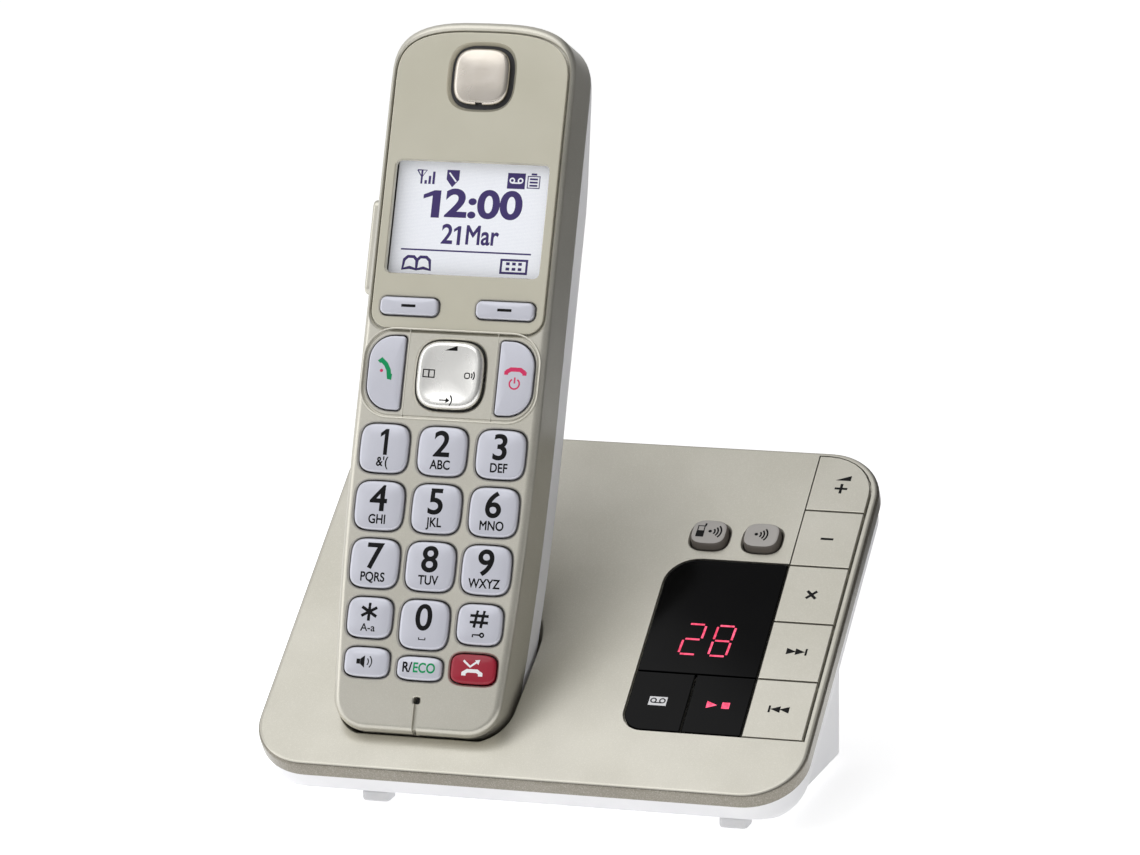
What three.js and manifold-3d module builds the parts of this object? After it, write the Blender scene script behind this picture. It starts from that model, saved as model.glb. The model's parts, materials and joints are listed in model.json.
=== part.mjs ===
// A cordless telephone and its base with an answering machine.
// Millimetres, +Z up. The front edge of the base faces -Y and +X is to its right.
// The finished group is centred on the origin and its feet stand on Z = 0.

import * as THREE from 'three';
import { mergeVertices } from 'three/addons/utils/BufferGeometryUtils.js';
import Module from 'manifold-3d';

const wasm = await Module();
wasm.setup();

// ---------------------------------------------------------------------------
// Driving dimensions
// ---------------------------------------------------------------------------

const restGap = 0.3; // gap kept between two pieces that rest on each other

// Base: a sloping top plate over a tray, with a stand under it that meets the table.
const plateWidth = 137;
const plateLength = 111;
const plateCornerRadius = 14.5;
const plateSkin = 3;
const rimHeight = 4;
const rimEdge = 1.1;
const rimWall = 2.2;
const plateSlope = THREE.MathUtils.degToRad(34.7);
const plateFrontHeight = 10.4; // table to the front top edge of the plate
const footHeight = 3;
const baseWall = 1.9;
const trayDepth = 14.5; // square to the plate, from its top surface to the tray's underside
const trayInset = 1.3; // the tray's side stands in from the edge of the plate
const trayEdge = 5;
const standInset = 7; // the stand's side stands in from the edge of the plate
const standFront = 7;
const standBack = 77;
const standCornerRadius = 9;

// Handset, measured from its bottom end and from its front face.
const handsetLength = 175;
const handsetWidth = 47;
const handsetFootWidth = 42.4;
const handsetThickness = 27;
const handsetLean = THREE.MathUtils.degToRad(21.6); // from upright
const handsetFromLeft = 41; // left edge of the plate to the handset's middle
const handsetFromFront = 6; // front edge of the plate to the handset's front bottom edge
const handsetLift = 7.8; // front top edge of the plate to the handset's front bottom edge
const taperStart = 74.5; // below this height the sides draw in
const bottomRadius = 8.5;
const crownHeight = 15.6;
const crownPower = 3.1;
const frontEdge = 1.9;
const backEdge = 6.5;
const backBendFromTop = 66; // this far below the top the back starts to slope towards the face
const backSlope = THREE.MathUtils.degToRad(12);
const partingDepth = 14.5; // front face to the joint between the two housings
const housingWall = 1.7;
const faceWall = 2;

// Cradle well in the plate.
const wellSideClearance = 0.8;
const wellEndClearance = 0.4;
const wellWall = 1.5;

// Keypad. Rows are heights of the key centres above the handset's bottom end.
const digitRows = [68.5, 54.45, 40.4];
const zeroRow = 26.3;
const symbolRow = 27.2;
const functionRow = 16.4;
const recallRow = 15.7;
const columnPitch = 14.85;
const columnDrawIn = 1.25; // how much the outer columns close up at the lowest row
const digitKey = [12.2, 11.9];
const symbolKey = [11.2, 9.8];
const functionKey = [11.2, 7.1];
const recallKey = [11.2, 5.6];
const callKey = [8.8, 18.1];
const callKeyColumn = 16.5;
const navigatorRow = 87.1;
const navigatorSize = 16.8;
const softKey = [14.7, 4.3];
const softKeyRow = 103.6;
const softKeyColumn = 12.2;
const sideKeyLength = 23.6;
const sideKeyWidth = 4;
const sideKeyHeight = 118.9;
const sideKeyDepth = 6.2;
const sideKeyProud = 2.4;
const keyGap = 0.35;
const keyEdge = 0.8;
const keyProud = 0.9;
const callKeyProud = 0.6;
const keyTravel = 0.6;
const keyFlange = 0.6; // how far the hidden flange reaches past the cap
const matTop = -4.8;
const matThickness = 1;
const handsetBoardThickness = 1;
const navigatorProud = 1.5;
const navigatorGap = 0.5;

// Display and earpiece.
const panelMargin = 1.5; // handset's side to the panel's side
const panelTopMargin = 2.6;
const panelBottom = 98;
const panelRecess = 1.5;
const panelThickness = 1.1;
const panelFloor = 1.3;
const panelGap = 0.25;
const displayWidth = 38.9;
const displayHeight = 27.9;
const displayCentre = 125.9;
const earpieceFromTop = 13.8;
const earpieceSize = 14.2;
const earpieceGap = 0.45;
const microphoneHeight = 8;

// Battery bay.
const cellDiameter = 10.5; // AAA
const cellLength = 44.5;
const bayWall = 1.2;
const bayDepth = 12.2; // front face to the front of the bay's floor
const bayBottom = 26;
const bayLength = 52;
const coverThickness = 1.6;
const coverGap = 0.3;
const coverBottom = 10.3;
const coverTravel = 3; // the open step under the cover, which it slides down into
const coverTop = 84;
const coverParting = 21.7; // front face to the cover's front edge

// Buttons of the base, in the plane of the plate, measured from its front edge.
const buttonColumnWidth = 14.7;
const buttonColumnMargin = 2.4; // right edge of the plate to the column
const buttonColumnFront = 17.9;
const buttonColumnBackMargin = 1.6;
const buttonCount = 5;
const tileGap = 0.5;
const tileThickness = 1.1;
const tileTravel = 0.5;
const windowThickness = 1.5;
const pocketDepth = 1.9;
const ledge = 1.2;
const windowWidth = 29.4;
const windowBack = 72.9;
const windowBackRadius = 8;
const windowFrontRadius = 5;
const padButton = [9.2, 8.2];
const padButtonRow = 80.6;
const padButtonProud = 2;
const padButtonTravel = 0.8;
const padButtonFromWindow = [8.1, 21.4]; // window's left edge to each button's centre
const baseBoardDepth = 10;
const baseBoardThickness = 1.4;
const switchHeight = 1.2;
const counterSize = [15, 13];
const counterCentre = 47.4;
const counterFromWindow = 14.9;

// Sockets, speaker, contacts and feet.
const jackHeight = 14;
const lineJack = { fromRight: 54.5, width: 13, height: 12, depth: 14, socket: [10, 7.2, 10] };
const powerJack = { fromRight: 32.5, width: 10, height: 11, depth: 12, bore: 6.2, pin: 1.9, boreDepth: 9 };
const speakerRadius = 16;
const speakerFromRight = 35.5;
const speakerFromFront = 46;
const speakerDepth = 6;
const contactSpacing = 20;
const contactDepth = 18.9; // front face to the contacts
const contactSize = [4, 3.8];
const contactTravel = 1;
const footSize = [7, 6];
const footFromLeft = 30.5; // edge of the plate to the middle of a foot
const footFromRight = 17.5;
const footRows = { front: 11, rear: 70 };

// ---------------------------------------------------------------------------
// Solids
// ---------------------------------------------------------------------------

// Turns a closed geometry into a solid that can be cut and joined.
function solidOf(geometry, matrix) {
  const bare = geometry.clone();
  bare.deleteAttribute('normal');
  bare.deleteAttribute('uv');
  if (matrix) {
    bare.applyMatrix4(matrix);
  }
  const merged = mergeVertices(bare);
  return new wasm.Manifold(new wasm.Mesh({
    numProp: 3,
    vertProperties: new Float32Array(merged.attributes.position.array),
    triVerts: new Uint32Array(merged.index.array),
  }));
}

function geometryOf(solid) {
  const mesh = solid.getMesh();
  const geometry = new THREE.BufferGeometry();
  geometry.setAttribute('position', new THREE.BufferAttribute(mesh.vertProperties, 3));
  geometry.setIndex(new THREE.BufferAttribute(mesh.triVerts, 1));
  geometry.computeVertexNormals();
  return geometry;
}

function join(first, ...others) {
  return others.reduce((result, other) => result.add(other), first);
}

function cut(first, ...tools) {
  return tools.reduce((result, tool) => result.subtract(tool), first);
}

// A flat shape given thickness between two heights, with both of its rims rounded.
function slab(shape, bottom, top, edge = 0, edgeSteps = 1, curveSteps = 1) {
  const geometry = new THREE.ExtrudeGeometry(shape, {
    depth: top - bottom - 2 * edge,
    bevelEnabled: edge > 0,
    bevelThickness: edge,
    bevelSize: edge,
    bevelOffset: -edge,
    bevelSegments: edgeSteps,
    curveSegments: curveSteps,
  });
  return geometry.translate(0, 0, bottom + edge);
}

function block(low, high) {
  const size = high.map((value, axis) => value - low[axis]);
  const middle = high.map((value, axis) => (value + low[axis]) / 2);
  return new THREE.BoxGeometry(...size).translate(...middle);
}

// A round bar along Z.
function bar(radius, bottom, top, sides = 20) {
  const geometry = new THREE.CylinderGeometry(radius, radius, top - bottom, sides);
  return geometry.rotateX(Math.PI / 2).translate(0, 0, (top + bottom) / 2);
}

// ---------------------------------------------------------------------------
// Flat shapes
// ---------------------------------------------------------------------------

// A rectangle with its own radius at each corner: front left, front right, back right, back left.
function roundedBox(left, front, right, back, radii) {
  const corners = [
    [left, front, 1, 1],
    [right, front, -1, 1],
    [right, back, -1, -1],
    [left, back, 1, -1],
  ];
  const shape = new THREE.Shape();
  corners.forEach(([x, y, inX, inY], index) => {
    const radius = radii[index];
    const start = Math.PI + index * Math.PI / 2;
    const centre = [x + inX * radius, y + inY * radius];
    const entry = [centre[0] + radius * Math.cos(start), centre[1] + radius * Math.sin(start)];
    if (index === 0) {
      shape.moveTo(...entry);
    } else {
      shape.lineTo(...entry);
    }
    if (radius > 0) {
      shape.absarc(...centre, radius, start, start + Math.PI / 2);
    }
  });
  return shape;
}

function roundedRectangle(width, height, radius) {
  return roundedBox(-width / 2, -height / 2, width / 2, height / 2, Array(4).fill(radius));
}

// A rounded square whose sides swell a little, as keys have.
function squircle(width, height, grow = 0, power = 4, points = 16) {
  const outline = [];
  for (let i = 0; i < points; i += 1) {
    const angle = (i + 0.5) / points * 2 * Math.PI;
    const cos = Math.cos(angle);
    const sin = Math.sin(angle);
    const x = Math.sign(cos) * Math.abs(cos) ** (2 / power) * (width / 2 + grow);
    const y = Math.sign(sin) * Math.abs(sin) ** (2 / power) * (height / 2 + grow);
    outline.push(new THREE.Vector2(x, y));
  }
  return new THREE.Shape(outline);
}

// Adds the rounded upper end shared by the handset and its panel, from right to left.
function addCrown(shape, half, top, height, steps = 12) {
  for (let i = 0; i <= steps; i += 1) {
    const angle = i / steps * Math.PI;
    const cos = Math.cos(angle);
    const x = Math.sign(cos) * Math.abs(cos) ** (2 / crownPower) * half;
    const y = top - height + Math.abs(Math.sin(angle)) ** (2 / crownPower) * height;
    shape.lineTo(x, y);
  }
}

// The handset seen from the front. A negative inset makes it larger.
function handsetOutline(inset) {
  const half = handsetWidth / 2 - inset;
  const footHalf = handsetFootWidth / 2 - inset;
  const radius = bottomRadius - inset;
  const side = Math.atan(2 * (half - footHalf) / (taperStart - bottomRadius));
  const centreX = footHalf - radius * Math.cos(side);
  const centreY = inset + radius;
  const sideStart = centreY - radius * Math.sin(side);
  const middle = (sideStart + taperStart) / 2;
  const shape = new THREE.Shape();
  shape.moveTo(-centreX, inset);
  shape.lineTo(centreX, inset);
  shape.absarc(centreX, centreY, radius, -Math.PI / 2, -side);
  shape.quadraticCurveTo(half, middle, half, taperStart);
  addCrown(shape, half, handsetLength - inset, crownHeight - inset);
  shape.lineTo(-half, taperStart);
  shape.quadraticCurveTo(-half, middle, -footHalf, sideStart);
  shape.absarc(-centreX, centreY, radius, Math.PI + side, 1.5 * Math.PI);
  return shape;
}

function panelOutline(inset) {
  const half = handsetWidth / 2 - panelMargin - inset;
  const radius = 4.5 - inset;
  const front = panelBottom + inset;
  const shape = new THREE.Shape();
  shape.moveTo(-half + radius, front);
  shape.lineTo(half - radius, front);
  shape.absarc(half - radius, front + radius, radius, -Math.PI / 2, 0);
  addCrown(shape, half, handsetLength - panelTopMargin - inset, crownHeight - panelTopMargin - inset);
  shape.absarc(-half + radius, front + radius, radius, Math.PI, 1.5 * Math.PI);
  return shape;
}

function callKeyShape(side, grow) {
  const x = callKey[0] / 2 + grow;
  const y = callKey[1] / 2 + grow;
  const outer = 6 + grow;
  const inner = 0.8 + grow;
  const radii = side < 0 ? [outer, inner, inner, outer] : [inner, outer, outer, inner];
  return roundedBox(-x, -y, x, y, radii);
}

// ---------------------------------------------------------------------------
// Places
// ---------------------------------------------------------------------------

const handsetPlace = new THREE.Matrix4().makeRotationX(Math.PI / 2 - handsetLean);
handsetPlace.setPosition(
  handsetFromLeft - plateWidth / 2,
  handsetFromFront,
  plateFrontHeight + handsetLift,
);
const platePlace = new THREE.Matrix4().makeRotationX(plateSlope);
platePlace.setPosition(0, 0, plateFrontHeight);

const columnRight = plateWidth / 2 - buttonColumnMargin;
const columnLeft = columnRight - buttonColumnWidth;
const columnBack = plateLength - buttonColumnBackMargin;
const buttonPitch = (columnBack - buttonColumnFront) / buttonCount;
const windowRight = columnLeft - tileGap;
const windowLeft = windowRight - windowWidth;
const windowSplit = buttonColumnFront + buttonPitch;
const windowMiddle = (windowLeft + windowRight) / 2;
const columnBackRadius = plateCornerRadius - buttonColumnMargin;
const boardTop = -baseBoardDepth;
const switchTop = boardTop + switchHeight;
const far = 400; // longer than any piece, for cutting away a whole side

const parts = new THREE.Group();
const handset = new THREE.Group();
handsetPlace.decompose(handset.position, handset.quaternion, handset.scale);
const plate = new THREE.Group();
platePlace.decompose(plate.position, plate.quaternion, plate.scale);
parts.add(handset, plate);

// Finishes, by name: colour, roughness and metalness.
const finishes = {
  champagne: ['#cfccbd', 0.38, 0.55],
  panel: ['#cfcab6', 0.08, 0.1],
  white: ['#e6e6e8', 0.35, 0],
  key: ['#c9cad4', 0.4, 0],
  crimson: ['#a31931', 0.35, 0],
  chrome: ['#d8d8d6', 0.22, 0.9],
  black: ['#0c0c0d', 0.06, 0],
  rubber: ['#8f8b88', 0.7, 0],
  silicone: ['#d5d7da', 0.6, 0],
  board: ['#2f6b3c', 0.5, 0],
  display: ['#eff1f6', 0.3, 0],
  metal: ['#c7b37a', 0.3, 1],
  steel: ['#b9babd', 0.3, 1],
  speaker: ['#3a3a3c', 0.5, 0.2],
  cell: ['#3c7a52', 0.35, 0.2],
  foot: ['#dcdcdc', 0.8, 0],
};

function addPart(group, name, solid, finish, x = 0, y = 0, z = 0) {
  const [color, roughness, metalness] = finishes[finish];
  const material = new THREE.MeshStandardMaterial({ color, roughness, metalness });
  const mesh = new THREE.Mesh(geometryOf(solid), material);
  mesh.name = name;
  mesh.position.set(x, y, z);
  group.add(mesh);
}

// ---------------------------------------------------------------------------
// Keys of the handset
// ---------------------------------------------------------------------------

// The outer columns close up towards the bottom of the keypad, as the handset's sides do.
function columnPlace(column, row) {
  const drop = Math.max(0, digitRows[0] - row) / (digitRows[0] - functionRow);
  return column * (columnPitch - columnDrawIn * drop ** 2);
}

const digitNames = ['1', '2', '3', '4', '5', '6', '7', '8', '9'];
const keys = digitNames.map((digit, index) => ({
  name: `key_${digit}`,
  column: index % 3 - 1,
  row: digitRows[Math.floor(index / 3)],
  size: digitKey,
  finish: 'key',
}));
keys.push(
  { name: 'key_star', column: -1, row: symbolRow, size: symbolKey, finish: 'key' },
  { name: 'key_0', column: 0, row: zeroRow, size: digitKey, finish: 'key' },
  { name: 'key_hash', column: 1, row: symbolRow, size: symbolKey, finish: 'key' },
  { name: 'key_speakerphone', column: -1, row: functionRow, size: functionKey, finish: 'key' },
  { name: 'key_recall', column: 0, row: recallRow, size: recallKey, finish: 'key' },
  { name: 'key_block', column: 1, row: functionRow, size: functionKey, finish: 'crimson' },
);

// A cap that stands through the face, on a wider flange that keeps it in. The flange stays
// clear of the housing's side walls, wherever the key's middle (x, y) is.
function keySolid(shape, flangeShape, top, flangeTop, flangeBottom, edge, x, y) {
  const cap = solidOf(slab(shape, flangeBottom + 0.2, top, edge));
  const inside = slab(handsetOutline(housingWall + restGap), flangeBottom - 1, flangeTop + 1);
  const flange = solidOf(slab(flangeShape, flangeBottom, flangeTop)).intersect(
    solidOf(inside.translate(-x, -y, 0)),
  );
  return join(cap, flange);
}

const keyHoles = [];
const flangeTop = -faceWall - restGap;
const flangeBottom = matTop + restGap + keyTravel;
for (const key of keys) {
  const [width, height] = key.size;
  const x = columnPlace(key.column, key.row);
  const cap = squircle(width, height);
  const flange = squircle(width, height, keyFlange + keyGap, 4, 8);
  const solid = keySolid(cap, flange, keyProud, flangeTop, flangeBottom, keyEdge, x, key.row);
  addPart(handset, key.name, solid, key.finish, x, key.row);
  keyHoles.push(slab(squircle(width, height, keyGap), -far, far).translate(x, key.row, 0));
}

for (const [name, side] of [['key_talk', -1], ['key_off', 1]]) {
  const x = side * callKeyColumn;
  const cap = callKeyShape(side, 0);
  const flange = callKeyShape(side, keyFlange + keyGap);
  const solid = keySolid(cap, flange, callKeyProud, flangeTop, flangeBottom, 0.5, x, navigatorRow);
  addPart(handset, name, solid, 'key', x, navigatorRow);
  keyHoles.push(slab(callKeyShape(side, keyGap), -far, far).translate(x, navigatorRow, 0));
}

const softFlangeTop = -panelRecess - panelFloor - restGap;
const softHoles = [];
for (const [name, side] of [['soft_key_left', -1], ['soft_key_right', 1]]) {
  const x = side * softKeyColumn;
  const [width, height] = softKey;
  const radius = height * 0.4;
  const cap = roundedRectangle(width, height, radius);
  const reach = 2 * (keyFlange + keyGap);
  const flange = roundedRectangle(width + reach, height + reach, radius);
  const solid = keySolid(cap, flange, keyProud, softFlangeTop, flangeBottom, 0.5, x, softKeyRow);
  addPart(handset, name, solid, 'key', x, softKeyRow);
  const hole = roundedRectangle(width + 2 * keyGap, height + 2 * keyGap, radius + keyGap);
  softHoles.push(slab(hole, -far, far).translate(x, softKeyRow, 0));
}

// The navigator rocks on a small pad: the pad tips up and down, the key tips left and right on it.
const navigatorFlangeTop = -faceWall - 0.8;
const navigatorFlangeBottom = navigatorFlangeTop - 0.6;
const navigatorCap = squircle(navigatorSize, navigatorSize, 0, 3.4, 24);
const navigatorFlange = squircle(navigatorSize, navigatorSize, navigatorGap + keyFlange, 3.4, 16);
addPart(
  handset,
  'navigator_key',
  join(
    solidOf(slab(navigatorCap, navigatorFlangeBottom + 0.1, navigatorProud, 1.4, 2)),
    solidOf(slab(navigatorFlange, navigatorFlangeBottom, navigatorFlangeTop)),
  ),
  'chrome',
  0,
  navigatorRow,
);
keyHoles.push(
  slab(squircle(navigatorSize, navigatorSize, navigatorGap, 3.4, 24), -far, far).translate(0, navigatorRow, 0),
);
addPart(
  handset,
  'navigator_pad',
  solidOf(bar(5.5, matTop + 0.4, navigatorFlangeBottom - 0.4)),
  'silicone',
  0,
  navigatorRow,
);

// The volume key on the left side rocks about its middle.
const sideFace = -handsetWidth / 2;
function sideSlab(length, width, radius, inner, outer, edge = 0) {
  const shape = roundedRectangle(width, length, radius);
  return slab(shape, inner, outer, edge).rotateY(-Math.PI / 2);
}
const sideKeySeat = -sideFace - housingWall - 2 * restGap;
addPart(
  handset,
  'side_volume_key',
  join(
    solidOf(sideSlab(sideKeyLength, sideKeyWidth, 1.5, sideKeySeat - 0.6, -sideFace + sideKeyProud, 0.5)),
    solidOf(sideSlab(sideKeyLength + 2, sideKeyWidth + 2, 2, sideKeySeat - 0.7, sideKeySeat)),
  ),
  'champagne',
  0,
  sideKeyHeight,
  -sideKeyDepth,
);
const sideKeySlot = sideSlab(sideKeyLength + 2 * keyGap, sideKeyWidth + 2 * keyGap, 2.2, 15, 40);
sideKeySlot.translate(0, sideKeyHeight, -sideKeyDepth);

// ---------------------------------------------------------------------------
// Housings of the handset
// ---------------------------------------------------------------------------

const earpieceHeight = handsetLength - earpieceFromTop;

function handsetBody(inset, front, back, edge, steps) {
  return slab(handsetOutline(inset), back, front, edge, steps, 2);
}

// Everything behind the sloping upper part of the back, or behind a plane inset from it.
function behindSlope(inset) {
  const space = block([-far, -far, -far], [far, far, 0]).rotateX(backSlope);
  return solidOf(space.translate(0, handsetLength - backBendFromTop, -handsetThickness + inset / Math.cos(backSlope)));
}

const frontBody = cut(
  solidOf(handsetBody(0, 0, -handsetThickness, frontEdge, 2)),
  solidOf(block([-far, -far, -far], [far, far, -partingDepth])),
  behindSlope(0),
);
const panelZone = panelBottom - panelGap - 0.3; // the wall is thicker behind the panel
const frontHollow = cut(
  join(
    solidOf(handsetBody(housingWall, -panelRecess - panelFloor, -far, 0)),
    solidOf(handsetBody(housingWall, -faceWall, -far, 0)).intersect(
      solidOf(block([-far, -far, -far], [far, panelZone, far])),
    ),
  ),
  behindSlope(housingWall),
);
const panelSeat = slab(panelOutline(-panelGap), -panelRecess, far, 0, 1, 2);
const displayOpening = block(
  [-displayWidth / 2 - 0.6, displayCentre - displayHeight / 2 - 0.6, -far],
  [displayWidth / 2 + 0.6, displayCentre + displayHeight / 2 + 0.6, far],
);
addPart(
  handset,
  'handset_front_housing',
  cut(
    frontBody,
    frontHollow,
    solidOf(panelSeat),
    solidOf(displayOpening),
    solidOf(bar(5, -far, far, 16).translate(0, earpieceHeight, 0)),
    solidOf(bar(0.9, -far, far, 8).translate(0, microphoneHeight, 0)),
    ...keyHoles.map((hole) => solidOf(hole)),
    ...softHoles.map((hole) => solidOf(hole)),
    solidOf(sideKeySlot),
  ),
  'champagne',
);

const earpieceHole = slab(squircle(earpieceSize, earpieceSize, earpieceGap, 3.4), -far, far);
earpieceHole.translate(0, earpieceHeight, 0);
const panelBack = -panelRecess + restGap;
addPart(
  handset,
  'display_panel',
  cut(
    solidOf(slab(panelOutline(0), panelBack, panelBack + panelThickness, 0, 1, 2)),
    solidOf(earpieceHole),
    ...softHoles.map((hole) => solidOf(hole)),
  ),
  'panel',
);
addPart(
  handset,
  'earpiece_cover',
  solidOf(slab(squircle(earpieceSize, earpieceSize, 0, 3.4), panelBack, 1, 0.9, 2)),
  'chrome',
  0,
  earpieceHeight,
);

// Back housing. Below coverTop its back and sides stand in, and the battery cover fills the step.
function backBody(inset) {
  const body = solidOf(handsetBody(inset, inset, -handsetThickness + inset, backEdge - inset, 2));
  return cut(body, behindSlope(inset));
}
const seatInset = coverThickness + coverGap;
const hollowInset = seatInset + housingWall;
const behindParting = solidOf(block([-far, -far, -far], [far, far, -partingDepth - restGap]));
const coverZone = solidOf(block(
  [-far, coverBottom - coverTravel - coverGap, -far],
  [far, coverTop + coverGap, -coverParting + coverGap],
));
const bayHalf = cellDiameter + 1.3;
const cellDepth = bayDepth + bayWall + restGap + cellDiameter / 2;
const bayOuter = block(
  [-bayHalf - bayWall, bayBottom - bayWall, -far],
  [bayHalf + bayWall, bayBottom + bayLength + bayWall, -bayDepth],
);
const bayInner = block(
  [-bayHalf, bayBottom, -far],
  [bayHalf, bayBottom + bayLength, -bayDepth - bayWall],
);
const bayFront = block(
  [-bayHalf - bayWall, bayBottom - bayWall, -partingDepth - 2],
  [bayHalf + bayWall, bayBottom + bayLength + bayWall, -bayDepth],
);
const upperHollow = backBody(housingWall).intersect(
  solidOf(block([-far, coverTop + coverGap + housingWall, -far], [far, far, far])),
);
const backHollow = cut(join(upperHollow, backBody(hollowInset)), solidOf(bayOuter));
const ringerHeight = 98;
const ringerSlots = [-6, -3, 0, 3, 6].map((step) => (
  solidOf(block([-5, ringerHeight + step - 0.6, -far], [5, ringerHeight + step + 0.6, -handsetThickness / 2]))
));
const contactSlots = [-1, 1].map((side) => solidOf(block(
  [side * contactSpacing / 2 - contactSize[0] / 2 - restGap, -1, -contactDepth - contactSize[1] / 2 - restGap],
  [side * contactSpacing / 2 + contactSize[0] / 2 + restGap, 9, -contactDepth + contactSize[1] / 2 + restGap],
)));
addPart(
  handset,
  'handset_rear_housing',
  cut(
    join(backBody(0).intersect(behindParting), solidOf(bayFront)),
    coverZone.subtract(backBody(seatInset)),
    backHollow,
    solidOf(bayInner),
    ...ringerSlots,
    ...contactSlots,
  ),
  'white',
);
addPart(
  handset,
  'battery_cover',
  cut(backBody(0), backBody(coverThickness)).intersect(
    solidOf(block([-far, coverBottom, -far], [far, coverTop, -coverParting])),
  ),
  'white',
);

// ---------------------------------------------------------------------------
// Inside the handset
// ---------------------------------------------------------------------------

const boardHalf = 19.6;
const boardBottom = microphoneHeight + 3.4;
const keypadTop = softKeyRow + softKey[1] / 2 + 1.5;
const insideHalf = Math.min(boardHalf, handsetFootWidth / 2 - housingWall - 1);

// A board or mat that narrows towards the bottom with the handset.
function insideShape(bottom, top) {
  const shape = new THREE.Shape();
  shape.moveTo(-insideHalf + 3, bottom);
  shape.lineTo(insideHalf - 3, bottom);
  shape.lineTo(insideHalf, bottom + 3);
  shape.lineTo(boardHalf, taperStart);
  shape.lineTo(boardHalf, top);
  shape.lineTo(-boardHalf, top);
  shape.lineTo(-boardHalf, taperStart);
  shape.lineTo(-insideHalf, bottom + 3);
  return shape;
}

const handsetBoardTop = matTop - matThickness - restGap;
const displayTop = displayCentre + displayHeight / 2 + 3;
addPart(
  handset,
  'keypad_mat',
  solidOf(slab(insideShape(boardBottom, keypadTop), matTop - matThickness, matTop)),
  'silicone',
);
addPart(
  handset,
  'handset_circuit_board',
  solidOf(slab(
    insideShape(boardBottom, displayTop + 1),
    handsetBoardTop - handsetBoardThickness,
    handsetBoardTop,
  )),
  'board',
);
addPart(
  handset,
  'lcd_module',
  solidOf(block(
    [-displayWidth / 2 - 0.3, displayCentre - displayHeight / 2 - 3, handsetBoardTop + restGap],
    [displayWidth / 2 + 0.3, displayTop, -panelRecess - panelFloor - restGap],
  )),
  'display',
);
addPart(
  handset,
  'earpiece_speaker',
  solidOf(bar(7, -6.6, -panelRecess - panelFloor - restGap)),
  'speaker',
  0,
  earpieceHeight,
);
addPart(
  handset,
  'microphone_capsule',
  solidOf(bar(2.8, -4.7, -faceWall - restGap, 12)),
  'speaker',
  0,
  microphoneHeight,
);
addPart(
  handset,
  'ringer_speaker',
  solidOf(bar(9.5, -handsetThickness + housingWall + restGap, -handsetThickness + housingWall + 4.5)),
  'speaker',
  0,
  ringerHeight,
);

// A round cell with its raised terminal, standing along the handset.
function cellSolid() {
  const radius = cellDiameter / 2;
  const profile = [
    [0, 0], [radius - 0.5, 0], [radius, 0.5], [radius, cellLength - 1.3], [radius - 0.5, cellLength - 0.8],
    [1.9, cellLength - 0.8], [1.9, cellLength], [0, cellLength],
  ].map(([x, y]) => new THREE.Vector2(x, y));
  return new THREE.LatheGeometry(profile, 14);
}
const cellBottom = bayBottom + (bayLength - cellLength) / 2;
for (const [name, side] of [['battery_cell_left', -1], ['battery_cell_right', 1]]) {
  const x = side * (bayHalf + cellDiameter / 2) / 3;
  addPart(handset, name, solidOf(cellSolid()), 'cell', x, cellBottom, -cellDepth);
}
for (const [name, side] of [['handset_contact_left', -1], ['handset_contact_right', 1]]) {
  const [width, depth] = contactSize;
  addPart(
    handset,
    name,
    solidOf(block([-width / 2, 0.2, -depth / 2], [width / 2, hollowInset + 0.8, depth / 2])),
    'metal',
    side * contactSpacing / 2,
    0,
    -contactDepth,
  );
}

// ---------------------------------------------------------------------------
// Base: top cover with the cradle well and the button openings
// ---------------------------------------------------------------------------

function plateShape(inset) {
  const half = plateWidth / 2 - inset;
  const radius = plateCornerRadius - inset;
  return roundedBox(-half, inset, half, plateLength - inset, Array(4).fill(radius));
}

// One space for the handset: its own shape, larger by a clearance and open towards the front.
function wellBody(side, end) {
  const body = handsetBody(-side, handsetThickness, -handsetThickness - side, backEdge + side, 2);
  return solidOf(body, handsetPlace).intersect(
    solidOf(block([-far, -end, -far], [far, far, far]), handsetPlace),
  );
}

// The tiles of the button column: bottom to top, the last one taking the plate's round corner.
const columnNames = [
  'button_skip_back', 'button_skip_forward', 'button_erase', 'button_volume_down', 'button_volume_up',
];
const tiles = columnNames.map((name, index) => {
  const front = buttonColumnFront + index * buttonPitch;
  const corner = index === buttonCount - 1 ? columnBackRadius : 0;
  return {
    name,
    finish: 'champagne',
    box: [columnLeft, front + tileGap, columnRight, front + buttonPitch],
    radii: [0, 0, corner, 0],
  };
});
tiles.push(
  {
    name: 'button_answer',
    finish: 'black',
    box: [windowLeft, buttonColumnFront + tileGap, windowMiddle - tileGap / 2, windowSplit],
    radii: [windowFrontRadius, 0, 0, 0],
  },
  {
    name: 'button_play_stop',
    finish: 'black',
    box: [windowMiddle + tileGap / 2, buttonColumnFront + tileGap, windowRight, windowSplit],
    radii: [0, 0, 0, 0],
  },
);

function tileShape(tile, inset) {
  const [left, front, right, back] = tile.box;
  const radii = tile.radii.map((radius) => Math.max(radius - inset, 0));
  return roundedBox(left + inset, front + inset, right - inset, back - inset, radii);
}

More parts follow.
